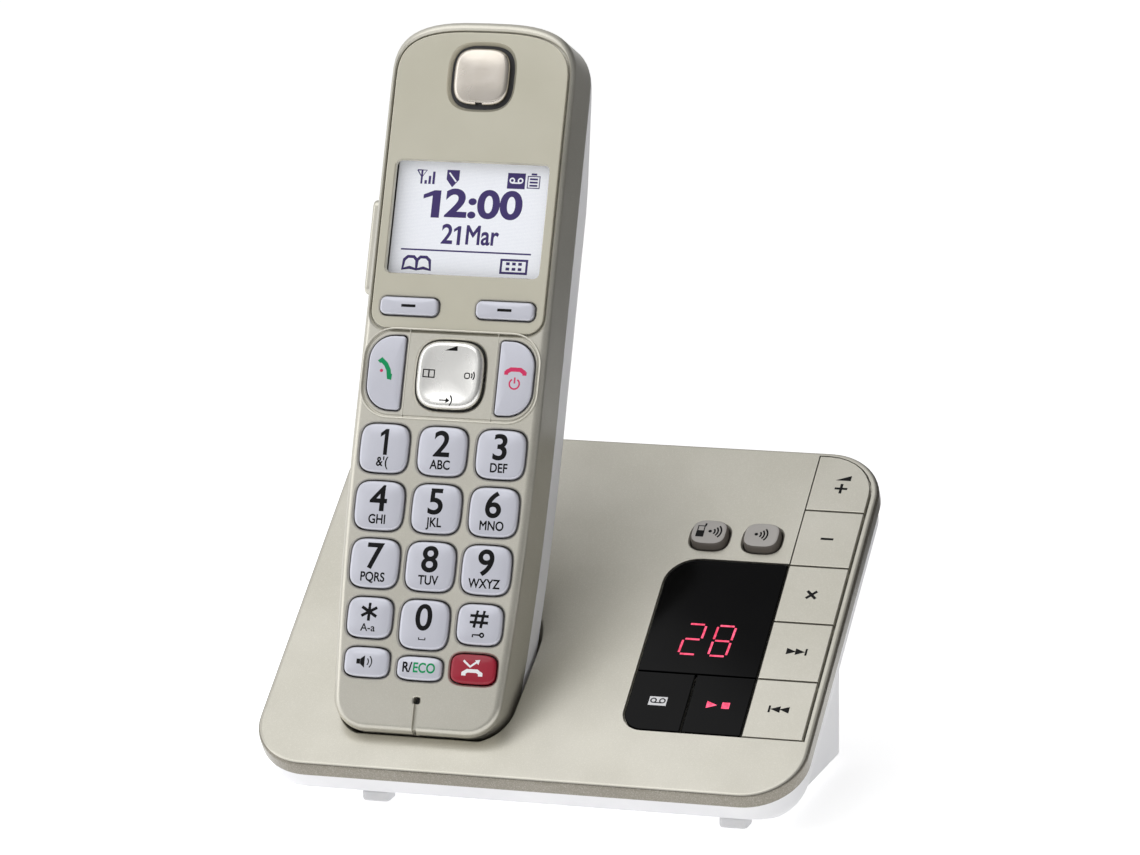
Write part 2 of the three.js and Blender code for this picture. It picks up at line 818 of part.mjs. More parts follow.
const windowTile = {
  box: [windowLeft, windowSplit + tileGap, windowRight, windowBack],
  radii: [0, 0, 0, windowBackRadius],
};
const pocket = join(
  solidOf(slab(roundedBox(
    columnLeft - tileGap / 2,
    buttonColumnFront,
    columnRight + tileGap,
    columnBack + tileGap,
    [0, 0, columnBackRadius + tileGap, 0],
  ), -pocketDepth, far, 0, 1, 2), platePlace),
  solidOf(slab(roundedBox(
    windowLeft - tileGap,
    buttonColumnFront,
    columnLeft,
    windowBack + tileGap,
    [windowFrontRadius + tileGap, 0, 0, windowBackRadius + tileGap],
  ), -pocketDepth, far, 0, 1, 2), platePlace),
);
const tileOpenings = [...tiles, windowTile].map((tile) => (
  solidOf(slab(tileShape(tile, ledge), -far, far), platePlace)
));
const padPlaces = padButtonFromWindow.map((offset) => windowLeft + offset);
const padOpenings = padPlaces.map((x) => (
  solidOf(slab(squircle(...padButton, keyGap, 3), -far, far).translate(x, padButtonRow, 0), platePlace)
));
const contactPassages = [-1, 1].map((side) => solidOf(block(
  [side * contactSpacing / 2 - 1.6, -far, -contactDepth - 1.7],
  [side * contactSpacing / 2 + 1.6, 1, -contactDepth + 1.7],
), handsetPlace));
const abovePlate = solidOf(block([-far, -far, 0], [far, far, far]), platePlace);
const wellCup = cut(wellBody(wellSideClearance + wellWall, wellEndClearance + wellWall), abovePlate);
const plateShell = cut(
  solidOf(slab(plateShape(0), -rimHeight, 0, rimEdge, 1, 3), platePlace),
  solidOf(slab(plateShape(rimWall), -far, -plateSkin, 0, 1, 3), platePlace),
);
addPart(
  parts,
  'base_top_cover',
  cut(
    join(plateShell, wellCup),
    wellBody(wellSideClearance, wellEndClearance),
    pocket,
    ...tileOpenings,
    ...padOpenings,
    ...contactPassages,
  ),
  'champagne',
);

// Each tile pushes a stem down to its switch on the board.
const stemBottom = switchTop + restGap + tileTravel;
for (const tile of tiles) {
  const [left, front, right, back] = tile.box;
  const middle = [(left + right) / 2, (front + back) / 2];
  const stem = block([-2.5, -2.5, stemBottom], [2.5, 2.5, -tileThickness / 2]).translate(...middle, 0);
  const top = solidOf(slab(tileShape(tile, 0), -tileThickness, 0, 0, 1, 2));
  addPart(plate, tile.name, join(top, solidOf(stem)), tile.finish);
}
addPart(plate, 'display_window', solidOf(slab(tileShape(windowTile, 0), -windowThickness, 0, 0, 1, 2)), 'black');
const padNames = ['button_locator', 'button_intercom'];
padNames.forEach((name, index) => {
  const solid = solidOf(slab(squircle(...padButton, 0, 3), switchTop + restGap + padButtonTravel, padButtonProud, 1));
  addPart(plate, name, solid, 'rubber', padPlaces[index], padButtonRow);
});

// ---------------------------------------------------------------------------
// Base: bottom housing
// ---------------------------------------------------------------------------

const handsetMiddle = handsetFromLeft - plateWidth / 2;
const underRim = solidOf(block([-far, -far, -rimHeight - restGap], [far, far, far]), platePlace);
function trayBody(inset) {
  const shape = plateShape(trayInset + inset);
  return solidOf(slab(shape, -trayDepth + inset, trayDepth, trayEdge - inset / 2, 2, 3), platePlace);
}
function standBody(inset) {
  const half = plateWidth / 2 - standInset - inset;
  const radius = standCornerRadius - inset;
  const shape = roundedBox(-half, standFront + inset, half, standBack - inset, Array(4).fill(radius));
  return solidOf(slab(shape, footHeight + inset, far / 2, 0, 1, 2));
}
const belowFloor = (inset) => solidOf(block([-far, -far, -far], [far, far, footHeight + inset]));
const housingOuter = cut(join(trayBody(0), standBody(0)), belowFloor(0), underRim);
const housingInner = cut(join(trayBody(baseWall), standBody(baseWall)), belowFloor(baseWall));
const lineJackX = plateWidth / 2 - lineJack.fromRight;
const powerJackX = plateWidth / 2 - powerJack.fromRight;
const jackOpenings = [[lineJack, lineJackX], [powerJack, powerJackX]].map(([jack, x]) => solidOf(block(
  [x - jack.width / 2 - restGap, standBack - 3, jackHeight - jack.height / 2 - restGap],
  [x + jack.width / 2 + restGap, standBack + 3, jackHeight + jack.height / 2 + restGap],
)));
const speakerCentre = [plateWidth / 2 - speakerFromRight, speakerFromFront];
const speakerSlots = [-9, -6, -3, 0, 3, 6, 9].map((step) => {
  const half = Math.sqrt((speakerRadius - 4) ** 2 - step ** 2);
  return solidOf(block(
    [speakerCentre[0] - half, speakerCentre[1] + step - 0.7, -far],
    [speakerCentre[0] + half, speakerCentre[1] + step + 0.7, footHeight + baseWall + 1],
  ));
});
addPart(
  parts,
  'base_bottom_housing',
  cut(housingOuter, housingInner, ...jackOpenings, ...speakerSlots),
  'white',
);

// ---------------------------------------------------------------------------
// Inside the base, its sockets and its feet
// ---------------------------------------------------------------------------

const boardLeft = handsetMiddle + handsetWidth / 2 + wellSideClearance + wellWall + 4;
const boardRight = plateWidth / 2 - trayInset - baseWall - 3;
const boardFront = buttonColumnFront - 3;
const boardBack = plateLength - trayInset - baseWall - 5;
const switchPlaces = tiles.map(({ box }) => [(box[0] + box[2]) / 2, (box[1] + box[3]) / 2]);
switchPlaces.push(...padPlaces.map((x) => [x, padButtonRow]));
const switches = switchPlaces.map(([x, y]) => (
  solidOf(block([x - 3, y - 3, boardTop - 0.2], [x + 3, y + 3, switchTop]))
));
const boardShape = roundedBox(boardLeft, boardFront, boardRight, boardBack, [2, 2, plateCornerRadius - 6, 2]);
addPart(
  plate,
  'base_circuit_board',
  join(solidOf(slab(boardShape, boardTop - baseBoardThickness, boardTop)), ...switches),
  'board',
);
addPart(
  plate,
  'message_counter',
  solidOf(block(
    [-counterSize[0] / 2, -counterSize[1] / 2, boardTop + restGap],
    [counterSize[0] / 2, counterSize[1] / 2, -windowThickness - restGap],
  )),
  'black',
  windowLeft + counterFromWindow,
  counterCentre,
);

const speakerBottom = footHeight + baseWall + restGap;
addPart(
  parts,
  'base_speaker',
  join(
    solidOf(bar(speakerRadius, speakerBottom, speakerBottom + 2, 28)),
    solidOf(bar(speakerRadius * 0.6, speakerBottom + 1, speakerBottom + speakerDepth, 20)),
  ),
  'speaker',
  ...speakerCentre,
);

const jackFace = standBack - 0.4;
addPart(
  parts,
  'line_jack',
  cut(
    solidOf(block(
      [-lineJack.width / 2, -lineJack.depth, -lineJack.height / 2],
      [lineJack.width / 2, 0, lineJack.height / 2],
    )),
    solidOf(block(
      [-lineJack.socket[0] / 2, -lineJack.socket[2], -lineJack.socket[1] / 2],
      [lineJack.socket[0] / 2, 1, lineJack.socket[1] / 2],
    )),
  ),
  'speaker',
  lineJackX,
  jackFace,
  jackHeight,
);
const powerBore = bar(powerJack.bore / 2, -1, powerJack.boreDepth, 20).rotateX(Math.PI / 2);
const powerPin = bar(powerJack.pin / 2, 1, powerJack.boreDepth + 1, 10).rotateX(Math.PI / 2);
addPart(
  parts,
  'power_jack',
  join(
    cut(
      solidOf(block(
        [-powerJack.width / 2, -powerJack.depth, -powerJack.height / 2],
        [powerJack.width / 2, 0, powerJack.height / 2],
      )),
      solidOf(powerBore),
    ),
    solidOf(powerPin),
  ),
  'speaker',
  powerJackX,
  jackFace,
  jackHeight,
);

// Sprung pins in the floor of the well press on the handset's two contacts.
for (const [name, side] of [['charge_contact_left', -1], ['charge_contact_right', 1]]) {
  const pinTop = -0.15;
  const collarTop = -wellEndClearance - wellWall - contactTravel - restGap;
  const pin = roundedRectangle(2.2, 2.6, 0.8);
  const collar = roundedRectangle(4, 4.4, 0.8);
  const standing = new THREE.Matrix4().makeRotationX(-Math.PI / 2);
  addPart(
    handset,
    name,
    join(
      solidOf(slab(pin, collarTop - 1.8, pinTop), standing),
      solidOf(slab(collar, collarTop - 1, collarTop), standing),
    ),
    'metal',
    side * contactSpacing / 2,
    0,
    -contactDepth,
  );
}

const footColumns = { left: footFromLeft - plateWidth / 2, right: plateWidth / 2 - footFromRight };
for (const [row, y] of Object.entries(footRows)) {
  for (const [side, x] of Object.entries(footColumns)) {
    const foot = slab(roundedRectangle(...footSize, 1.2), 0, footHeight - restGap, 0.4, 1);
    addPart(parts, `foot_${row}_${side}`, solidOf(foot), 'foot', x, y);
  }
}

// ---------------------------------------------------------------------------
// The whole phone, centred over the origin
// ---------------------------------------------------------------------------

const phone = new THREE.Group();
phone.add(parts);
phone.updateMatrixWorld(true);
const bounds = new THREE.Box3().setFromObject(phone, true);
parts.position.set(
  -(bounds.min.x + bounds.max.x) / 2,
  -(bounds.min.y + bounds.max.y) / 2,
  -bounds.min.z,
);
phone.updateMatrixWorld(true);

export default phone;
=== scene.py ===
# %% [markdown]
# # A cordless telephone standing in its answering base
# The handset leans back in a moulded well of the base. The base is a sloping
# plate with answering machine buttons, on a white tray. Every piece here is
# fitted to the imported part, so the script first loads it and never moves it.

import json
import math

import bpy
from mathutils import Matrix, Vector


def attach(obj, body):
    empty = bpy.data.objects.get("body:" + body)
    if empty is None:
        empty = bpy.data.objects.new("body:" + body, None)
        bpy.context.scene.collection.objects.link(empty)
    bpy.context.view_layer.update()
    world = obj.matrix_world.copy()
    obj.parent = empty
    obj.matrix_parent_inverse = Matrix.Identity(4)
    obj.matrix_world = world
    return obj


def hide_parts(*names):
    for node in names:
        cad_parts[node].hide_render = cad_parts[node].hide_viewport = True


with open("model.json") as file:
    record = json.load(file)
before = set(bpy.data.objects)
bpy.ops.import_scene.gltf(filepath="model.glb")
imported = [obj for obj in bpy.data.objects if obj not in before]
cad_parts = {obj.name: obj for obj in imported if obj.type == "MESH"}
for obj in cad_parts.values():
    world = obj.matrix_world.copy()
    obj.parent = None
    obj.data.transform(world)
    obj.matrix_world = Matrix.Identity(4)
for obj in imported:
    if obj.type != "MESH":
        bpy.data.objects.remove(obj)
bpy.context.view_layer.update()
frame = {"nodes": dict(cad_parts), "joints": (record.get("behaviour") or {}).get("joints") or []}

# %% [markdown]
# ## Two tilted drawing boards
# The handset's keys and the base's buttons sit on tilted faces. Modelling on a
# tilt is hard to read, so each face gets its own set of axes: across, along and
# out of the face, in millimetres. A piece is modelled flat and placed last.

# %% Axes of the handset's face, the base's plate and the table
axes = {joint["name"]: Vector(joint["axis"]) for joint in frame["joints"]}
RIGHT = Vector((1, 0, 0))
MILLIMETRE = 0.001
PLATE_LENGTH = 111


def board(along, out, origin):
    """Millimetres on a face to metres in the scene."""
    matrix = Matrix((RIGHT, along, out)).transposed().to_4x4()
    return Matrix.Translation(origin) @ matrix @ Matrix.Scale(MILLIMETRE, 4)


def reach(node, direction):
    """How far a node of the part reaches along a direction, lowest and highest, in metres."""
    values = [direction.dot(vertex.co) for vertex in frame["nodes"][node].data.vertices]
    return min(values), max(values)


def middle(pair):
    return (pair[0] + pair[1]) / 2


handset_up = axes["handset_lift"].normalized()
handset_out = -axes["key_5_press"].normalized()
plate_out = -axes["button_erase_press"].normalized()
plate_up = plate_out.cross(RIGHT)
HANDSET = board(handset_up, handset_out, (
    RIGHT * middle(reach("handset_front_housing", RIGHT))
    + handset_up * reach("handset_front_housing", handset_up)[0]
    + handset_out * reach("handset_front_housing", handset_out)[1]))
PLATE = board(plate_up, plate_out, (
    plate_up * (reach("base_top_cover", plate_up)[1] - PLATE_LENGTH * MILLIMETRE)
    + plate_out * reach("base_top_cover", plate_out)[1]))
TABLE = Matrix.Scale(MILLIMETRE, 4)
print("handset leans", round(math.degrees(handset_up.angle(Vector((0, 0, 1)))), 1), "degrees")


def span(node, place):
    """Lowest and highest corners of a node on one of the boards, in millimetres."""
    inverse = place.inverted()
    points = [inverse @ vertex.co for vertex in frame["nodes"][node].data.vertices]
    low = Vector([min(point[axis] for point in points) for axis in range(3)])
    high = Vector([max(point[axis] for point in points) for axis in range(3)])
    return low, high


print("plate runs", [round(value, 1) for corner in span("base_top_cover", PLATE) for value in corner])

# %% [markdown]
# ## Building a moulded piece by hand
# Nearly every piece is a flat outline raised into a block whose rim is rounded.
# By hand that is: add a filled circle, move its corners, extrude the face up,
# then inset it a few times while it rises. Each inset is one step of the round.

# %% Outlines
def arc(centre, radius, start, end, count=8):
    """Points of an arc, with the angles in quarter turns."""
    angles = [math.pi / 2 * (start + (end - start) * step / count) for step in range(count + 1)]
    return [(centre[0] + radius * math.cos(a), centre[1] + radius * math.sin(a)) for a in angles]


def rounded_box(low, high, radii, count=8):
    """A rectangle with its own radius at front left, front right, back right and back left."""
    corners = [(low[0], low[1], 1, 1), (high[0], low[1], -1, 1),
               (high[0], high[1], -1, -1), (low[0], high[1], 1, -1)]
    points = []
    for turn, (x, y, inward_x, inward_y) in enumerate(corners):
        radius = radii[turn]
        if radius > 0:
            centre = (x + inward_x * radius, y + inward_y * radius)
            points += arc(centre, radius, 2 + turn, 3 + turn, count)
        else:
            points.append((x, y))
    return points


def squircle(width, height, power=4, count=48, centre=(0, 0)):
    """A square with swelling sides, the shape of the keys."""
    points = []
    for step in range(count):
        angle = 2 * math.pi * (step + 0.5) / count
        cosine, sine = math.cos(angle), math.sin(angle)
        x = math.copysign(abs(cosine) ** (2 / power), cosine) * width / 2
        y = math.copysign(abs(sine) ** (2 / power), sine) * height / 2
        points.append((centre[0] + x, centre[1] + y))
    return points


# %% Faces, rims and cuts
def deselect():
    if bpy.context.object and bpy.context.object.mode != "OBJECT":
        bpy.ops.object.mode_set(mode="OBJECT")
    bpy.ops.object.select_all(action="DESELECT")


def pick(piece):
    deselect()
    piece.select_set(True)
    bpy.context.view_layer.objects.active = piece


def outline_face(name, points, height=0):
    """A flat face: a filled circle whose corners are moved onto the outline."""
    deselect()
    bpy.ops.mesh.primitive_circle_add(vertices=len(points), radius=1, fill_type="NGON")
    piece = bpy.context.object
    piece.name = name
    for vertex, (x, y) in zip(piece.data.vertices, points):
        vertex.co = (x, y, height)
    piece.data.update()
    if piece.data.polygons[0].normal.z < 0:
        bpy.ops.object.mode_set(mode="EDIT")
        bpy.ops.mesh.flip_normals()
        bpy.ops.object.mode_set(mode="OBJECT")
    return piece


def edit_end(piece, side):
    """Starts editing with only the top (side 1) or bottom (side -1) face selected. Returns its middle."""
    pick(piece)
    ends = [face for face in piece.data.polygons if face.normal.z * side > 0.9]
    end = max(ends, key=lambda face: (round(side * face.center.z, 4), face.area)).index
    centre = piece.data.polygons[end].center.copy()
    bpy.ops.object.mode_set(mode="EDIT")
    bpy.context.tool_settings.mesh_select_mode = (False, False, True)
    bpy.ops.mesh.select_all(action="DESELECT")
    bpy.ops.object.mode_set(mode="OBJECT")
    piece.data.polygons[end].select = True
    bpy.ops.object.mode_set(mode="EDIT")
    return centre


def shape_end(piece, steps, side=1):
    """Moves an end face: in by the first number of each step, and out by the second."""
    edit_end(piece, side)
    for inward, outward in steps:
        if inward:
            bpy.ops.mesh.inset(thickness=abs(inward), depth=outward, use_outset=inward < 0)
        else:
            bpy.ops.mesh.extrude_region_move(TRANSFORM_OT_translate={"value": (0, 0, side * outward)})
    bpy.ops.object.mode_set(mode="OBJECT")
    return piece


def swell_end(piece, steps, side=1):
    """Shrinks copies of the end face towards its middle: a scale and a rise for each, as a dome has."""
    centre = edit_end(piece, side)
    for scale, rise in steps:
        bpy.ops.mesh.extrude_region_move(TRANSFORM_OT_translate={"value": (0, 0, side * rise)})
        bpy.ops.transform.resize(value=(scale, scale, 1), center_override=centre)
    bpy.ops.object.mode_set(mode="OBJECT")
    return piece


def round_over(radius, count=5, height=None):
    """Steps of a quarter round, each one in and out."""
    height = radius if height is None else height
    turns = [math.pi / 2 * step / count for step in range(count + 1)]
    return [(radius * (math.cos(a) - math.cos(b)), height * (math.sin(b) - math.sin(a)))
            for a, b in zip(turns, turns[1:])]


def prism(name, points, bottom, top, top_round=0, bottom_round=0, count=5):
    """An outline raised from bottom to top, with its rims rounded."""
    piece = outline_face(name, points, bottom + bottom_round)
    shape_end(piece, [(0, top - bottom - top_round - bottom_round)])
    if top_round:
        shape_end(piece, round_over(top_round, count))
    if bottom_round:
        shape_end(piece, round_over(bottom_round, count), side=-1)
    return piece


def join(name, pieces):
    """Several meshes made one object."""
    deselect()
    for piece in pieces:
        piece.select_set(True)
    bpy.context.view_layer.objects.active = pieces[0]
    if len(pieces) > 1:
        bpy.ops.object.join()
    pieces[0].name = name
    return pieces[0]


def boolean(piece, tool, operation="DIFFERENCE"):
    """Cuts, joins or trims a piece by a tool, which is then thrown away."""
    pick(piece)
    modifier = piece.modifiers.new("cut", "BOOLEAN")
    modifier.operation = operation
    modifier.object = tool
    modifier.solver = "EXACT"
    bpy.ops.object.modifier_apply(modifier="cut")
    bpy.data.objects.remove(tool, do_unlink=True)
    return piece


def box_tool(low, high):
    """A plain box to cut with."""
    return prism("tool", rounded_box(low, high, [0, 0, 0, 0]), low[2], high[2])


# %% [markdown]
# ## Finishing a piece
# A finished piece is put in its place by changing its mesh, so that its object
# stays at the origin. It then rides on a body of the part, stands for the part's
# own nodes, and gets its finish. Smooth shading stops at edges over 35 degrees, and
# normals weighted by area keep the wide flat faces flat up to their rims.

# %% Placing and naming pieces
made = {}


def finish(piece, name, place, body, material, nodes=(), smooth=35):
    pick(piece)
    piece.data.transform(place)
    if place.determinant() < 0:
        piece.data.flip_normals()
    bpy.ops.object.shade_smooth_by_angle(angle=math.radians(smooth))
    weighted = piece.modifiers.new("weighted", "WEIGHTED_NORMAL")
    weighted.keep_sharp = True
    bpy.ops.object.modifier_apply(modifier="weighted")
    piece.name = name
    piece.data.name = name
    if material is not None:
        piece.data.materials.clear()
        piece.data.materials.append(material)
    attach(piece, body)
    if nodes:
        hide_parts(*nodes)
    made[name] = len(piece.data.polygons)
    return piece


# %% [markdown]
# ## Marks, strokes and beads
# Printed digits and symbols are thin raised shapes, like the ink of a pad
# printer. Text comes from Blender's own font. A stroke is a line of points given
# a round or flat section, which also makes the fine beads on the mouldings.

# %% Text, strokes and filled marks
INK = 0.03  # mm that a print stands above its surface, enough to clear it in the render


def to_mesh(thing, name):
    pick(thing)
    bpy.ops.object.convert(target="MESH")
    thing = bpy.context.object
    thing.name = name
    return thing


def text(body, x, y, size, weight=0.0, z=0.0, stretch=1.0):
    """Printed characters centred on (x, y), with capitals as tall as the size."""
    deselect()
    bpy.ops.object.text_add()
    thing = bpy.context.object
    thing.data.body = body
    thing.data.size = size / 0.69
    thing.data.align_x = "CENTER"
    thing.data.align_y = "CENTER"
    thing.data.extrude = INK / 2
    thing.data.bevel_depth = weight * size
    thing.data.bevel_resolution = 1
    thing = to_mesh(thing, "text")
    squeeze = INK / (INK + 2 * weight * size)
    thing.data.transform(Matrix.Translation((x, y, z)) @ Matrix.Diagonal((stretch, 1, squeeze, 1)))
    return thing


def stroke(points, width, z=0.0, closed=False, flat=True, height=0.0):
    """A line of even width through the points. Round ones are beads, flat ones are ink."""
    curve = bpy.data.curves.new("stroke", "CURVE")
    curve.dimensions = "3D"
    spline = curve.splines.new("POLY")
    spline.points.add(len(points) - 1)
    for point, place in zip(spline.points, points):
        point.co = (place[0], place[1], place[2] if len(place) > 2 else height, 1)
    spline.use_cyclic_u = closed
    curve.bevel_depth = width / 2
    curve.bevel_resolution = 2
    curve.use_fill_caps = not closed
    thing = bpy.data.objects.new("stroke", curve)
    bpy.context.collection.objects.link(thing)
    thing = to_mesh(thing, "stroke")
    squeeze = INK / width if flat else 1
    thing.data.transform(Matrix.Translation((0, 0, z)) @ Matrix.Diagonal((1, 1, squeeze, 1)))
    return thing


def numeral_one(x, y, size, width, z=0.0):
    """A figure one with its flag, which the font draws as a bare bar."""
    half, flag_tip = size / 2, x - width * 1.1
    return mark([(x, y - half), (x + width, y - half), (x + width, y + half), (x + width * 0.2, y + half),
                 (flag_tip, y + half * 0.66), (flag_tip, y + half * 0.36), (x, y + half * 0.6)], z)


def mark(points, z=0.0):
    """A filled shape of ink."""
    return prism("mark", points, z - INK, z + INK)


def at(origin, *offsets):
    """Points given as offsets from an origin."""
    return [(origin[0] + x, origin[1] + y) for x, y in offsets]


def box_points(x, y, width, height):
    return [(x - width / 2, y - height / 2), (x + width / 2, y - height / 2),
            (x + width / 2, y + height / 2), (x - width / 2, y + height / 2)]


print("helpers ready")

# %% [markdown]
# ## Materials
# Each finish starts from the real material and how its surface was made. Colours
# are written as sRGB hex and turned to linear by one function. One function adds
# a node with its settings and links. Pattern scales are worked out from a real
# size in millimetres: a noise of scale 1 has features about one metre wide.

# %% Colour and node helpers
def linear(code):
    channels = [int(code[start:start + 2], 16) / 255 for start in (1, 3, 5)]
    return [c / 12.92 if c <= 0.04045 else ((c + 0.055) / 1.055) ** 2.4 for c in channels] + [1.0]


def per_mm(size):
    """The scale of a pattern whose features are this many millimetres wide."""
    return 1 / (size * MILLIMETRE)


def add(tree, kind, links=(), values=(), **settings):
    """Adds a node, sets its properties and input values, and links its inputs."""
    node = tree.nodes.new(kind)
    for key, value in settings.items():
        setattr(node, key, value)
    for key, value in dict(values).items():
        node.inputs[key].default_value = value
    for key, source in dict(links).items():
        tree.links.new(source, node.inputs[key])
    return node


def blank(name):
    material = bpy.data.materials.new(name)
    material.use_nodes = True
    tree = material.node_tree
    shader = next(node for node in tree.nodes if node.type == "BSDF_PRINCIPLED")
    place = add(tree, "ShaderNodeTexCoord")
    return material, tree, shader, place.outputs["Object"]


def shade(tree, place, light, dark, size, low=0.35, high=0.65):
    """Drifts between two near colours, as a moulding or a print does."""
    noise = add(tree, "ShaderNodeTexNoise", {"Vector": place}, {"Scale": per_mm(size), "Detail": 3.0})
    ramp = add(tree, "ShaderNodeValToRGB", {"Fac": noise.outputs["Fac"]})
    ramp.color_ramp.elements[0].position = low
    ramp.color_ramp.elements[1].position = high
    ramp.color_ramp.elements[0].color = linear(dark)
    ramp.color_ramp.elements[1].color = linear(light)
    return ramp.outputs["Color"]


def texture(tree, place, size, strength, depth, detail=4.0):
    """A bump of this grain size and depth, both in millimetres."""
    noise = add(tree, "ShaderNodeTexNoise", {"Vector": place}, {"Scale": per_mm(size), "Detail": detail})
    bump = add(tree, "ShaderNodeBump", {"Height": noise.outputs["Fac"]},
               {"Strength": strength, "Distance": depth * MILLIMETRE})
    return bump.outputs["Normal"]


def spread(tree, place, size, low, high):
    """A roughness that wanders between two values, as handling leaves it."""
    noise = add(tree, "ShaderNodeTexNoise", {"Vector": place}, {"Scale": per_mm(size), "Detail": 2.0})
    remap = add(tree, "ShaderNodeMapRange", {"Value": noise.outputs["Fac"]},
                {"From Min": 0.3, "From Max": 0.7, "To Min": low, "To Max": high})
    return remap.outputs["Result"]


def moulding(name, light, dark, roughness, grain, depth, **values):
    """A moulded or sprayed plastic: two near colours, a wandering roughness and a fine grain."""
    material, tree, shader, place = blank(name)
    tree.links.new(shade(tree, place, light, dark, 22), shader.inputs["Base Color"])
    tree.links.new(spread(tree, place, 9, roughness * 0.88, roughness * 1.12), shader.inputs["Roughness"])
    tree.links.new(texture(tree, place, grain, 0.35, depth), shader.inputs["Normal"])
    for key, value in values.items():
        shader.inputs[key.replace("_", " ")].default_value = value
    return material


# %% Sprayed champagne lacquer
# Metal flake in a clear binder over moulded ABS: a satin sheen with fine sparkle.
# Real flakes are about 0.05 mm wide, so they are drawn at 0.18 mm to show.
def champagne_lacquer(name, light, dark, roughness):
    material, tree, shader, place = blank(name)
    flake = add(tree, "ShaderNodeTexVoronoi", {"Vector": place}, {"Scale": per_mm(0.18)})
    tint = add(tree, "ShaderNodeMix", {"A": shade(tree, place, light, dark, 30)},
               {"B": linear("#E6E3DA")}, data_type="RGBA")
    amount = add(tree, "ShaderNodeMapRange", {"Value": flake.outputs["Color"]},
                 {"From Min": 0.55, "From Max": 1.0, "To Min": 0.0, "To Max": 0.3})
    tree.links.new(amount.outputs["Result"], tint.inputs["Factor"])
    bump = add(tree, "ShaderNodeBump", {"Height": flake.outputs["Distance"]},
               {"Strength": 0.12, "Distance": 0.02 * MILLIMETRE})
    tree.links.new(tint.outputs["Result"], shader.inputs["Base Color"])
    tree.links.new(spread(tree, place, 12, roughness - 0.03, roughness + 0.04), shader.inputs["Roughness"])
    tree.links.new(bump.outputs["Normal"], shader.inputs["Normal"])
    shader.inputs["Metallic"].default_value = 0.75
    shader.inputs["Coat Weight"].default_value = 0.25
    shader.inputs["Coat Roughness"].default_value = 0.18
    return material


champagne = champagne_lacquer("champagne_lacquer_on_abs", "#CBC8BD", "#C4C1B5", 0.34)
# The darker copy is painted shade and dark reflection for the plate's outer rim.
champagne_rim_painted_shade = champagne_lacquer("champagne_lacquer_rim_painted_shade", "#8B867B", "#827D72", 0.3)

# %% Plastics
# Glossy painted panel: a clear moulding painted on its back, so its top is smooth and deep.
panel_gloss = moulding("painted_clear_panel", "#C9C5B4", "#C4C0AE", 0.16, 6, 0.002,
                       Metallic=0.3, Coat_Weight=1.0, Coat_Roughness=0.03)
# White ABS from a polished tool: soft highlights.
white_abs = moulding("white_abs_moulding", "#E9E9EB", "#E3E3E6", 0.34, 0.5, 0.006)
# Keys: pale lavender ABS under a soft-touch clear lacquer.
key_abs = moulding("lavender_key_abs", "#CBCCD6", "#C6C7D1", 0.34, 0.35, 0.006, Metallic=0.35)
crimson_abs = moulding("crimson_key_abs", "#9E1730", "#93132A", 0.3, 0.35, 0.006)
# Black acrylic window: polished and dyed through, so it reads as deep black.
black_acrylic = moulding("black_acrylic_window", "#020203", "#010102", 0.09, 8, 0.001,
                         Specular_IOR_Level=0.08)
# Dark moulded ABS of sockets and speakers, with a fine spark-eroded grain.
dark_abs = moulding("dark_abs_spark_eroded", "#2E2E31", "#262629", 0.52, 0.3, 0.02)
# Silicone rubber of the two round buttons: matt. The darker copy on their sides is painted shade; the tops
# carry the rubber's own grey.
rubber_top = moulding("silicone_rubber_top", "#BBB7B3", "#B3AFAB", 0.6, 0.25, 0.01)
rubber_side_painted_shade = moulding("silicone_rubber_side_painted_shade", "#69625C", "#5C5650", 0.65, 0.25, 0.01)
clear_silicone = moulding("silicone_mat", "#D5D7DA", "#CCCED2", 0.6, 0.4, 0.01)
foot_rubber = moulding("foot_rubber", "#DEDEDF", "#D2D2D4", 0.8, 0.3, 0.02)

# %% Bare metals
# Satin chrome plating on ABS: a blurred mirror, brushed along the handset in lines 0.2 mm apart.
def plating(name, light, dark):
    material, tree, shader, place = blank(name)
    stretched = add(tree, "ShaderNodeMapping", {"Vector": place}, {"Scale": (1.0, 0.04, 0.04)})
    brushed = add(tree, "ShaderNodeTexNoise", {"Vector": stretched.outputs["Vector"]},
                  {"Scale": per_mm(0.2), "Detail": 2.0})
    bump = add(tree, "ShaderNodeBump", {"Height": brushed.outputs["Fac"]},
               {"Strength": 0.02, "Distance": 0.01 * MILLIMETRE})
    tree.links.new(bump.outputs["Normal"], shader.inputs["Normal"])
    tree.links.new(shade(tree, place, light, dark, 5), shader.inputs["Base Color"])
    tree.links.new(spread(tree, place, 4, 0.25, 0.28), shader.inputs["Roughness"])
    shader.inputs["Metallic"].default_value = 1.0
    return material


satin_chrome = plating("satin_chrome_plating", "#F2F1EE", "#EFEEEB")
# The earpiece cap has the same plating in a warmer, darker tone.
warm_chrome = plating("warm_satin_plating", "#D3CCC3", "#CDC6BC")

# Gold flash over nickel on the charging contacts: warm, with fine rub marks.
gold_contact, tree, shader, place = blank("gold_flash_contact")
tree.links.new(shade(tree, place, "#D9C078", "#B89A55", 1.2), shader.inputs["Base Color"])
tree.links.new(spread(tree, place, 0.5, 0.22, 0.36), shader.inputs["Roughness"])
shader.inputs["Metallic"].default_value = 1.0

# Circuit board: green solder mask over copper tracks about 0.8 mm apart.
solder_mask, tree, shader, place = blank("solder_mask_board")
tracks = add(tree, "ShaderNodeTexBrick", {"Vector": place}, {
    "Scale": per_mm(4), "Mortar Size": 0.06, "Color1": linear("#1F6B3A"), "Color2": linear("#1A5F33"),
    "Mortar": linear("#3C8A4C")})
tree.links.new(tracks.outputs["Color"], shader.inputs["Base Color"])
tree.links.new(spread(tree, place, 5, 0.3, 0.42), shader.inputs["Roughness"])

# Cell sleeve: printed shrink film, green with a paler band.
cell_sleeve = moulding("cell_shrink_sleeve", "#3F7F57", "#2F6D49", 0.3, 1.5, 0.02)

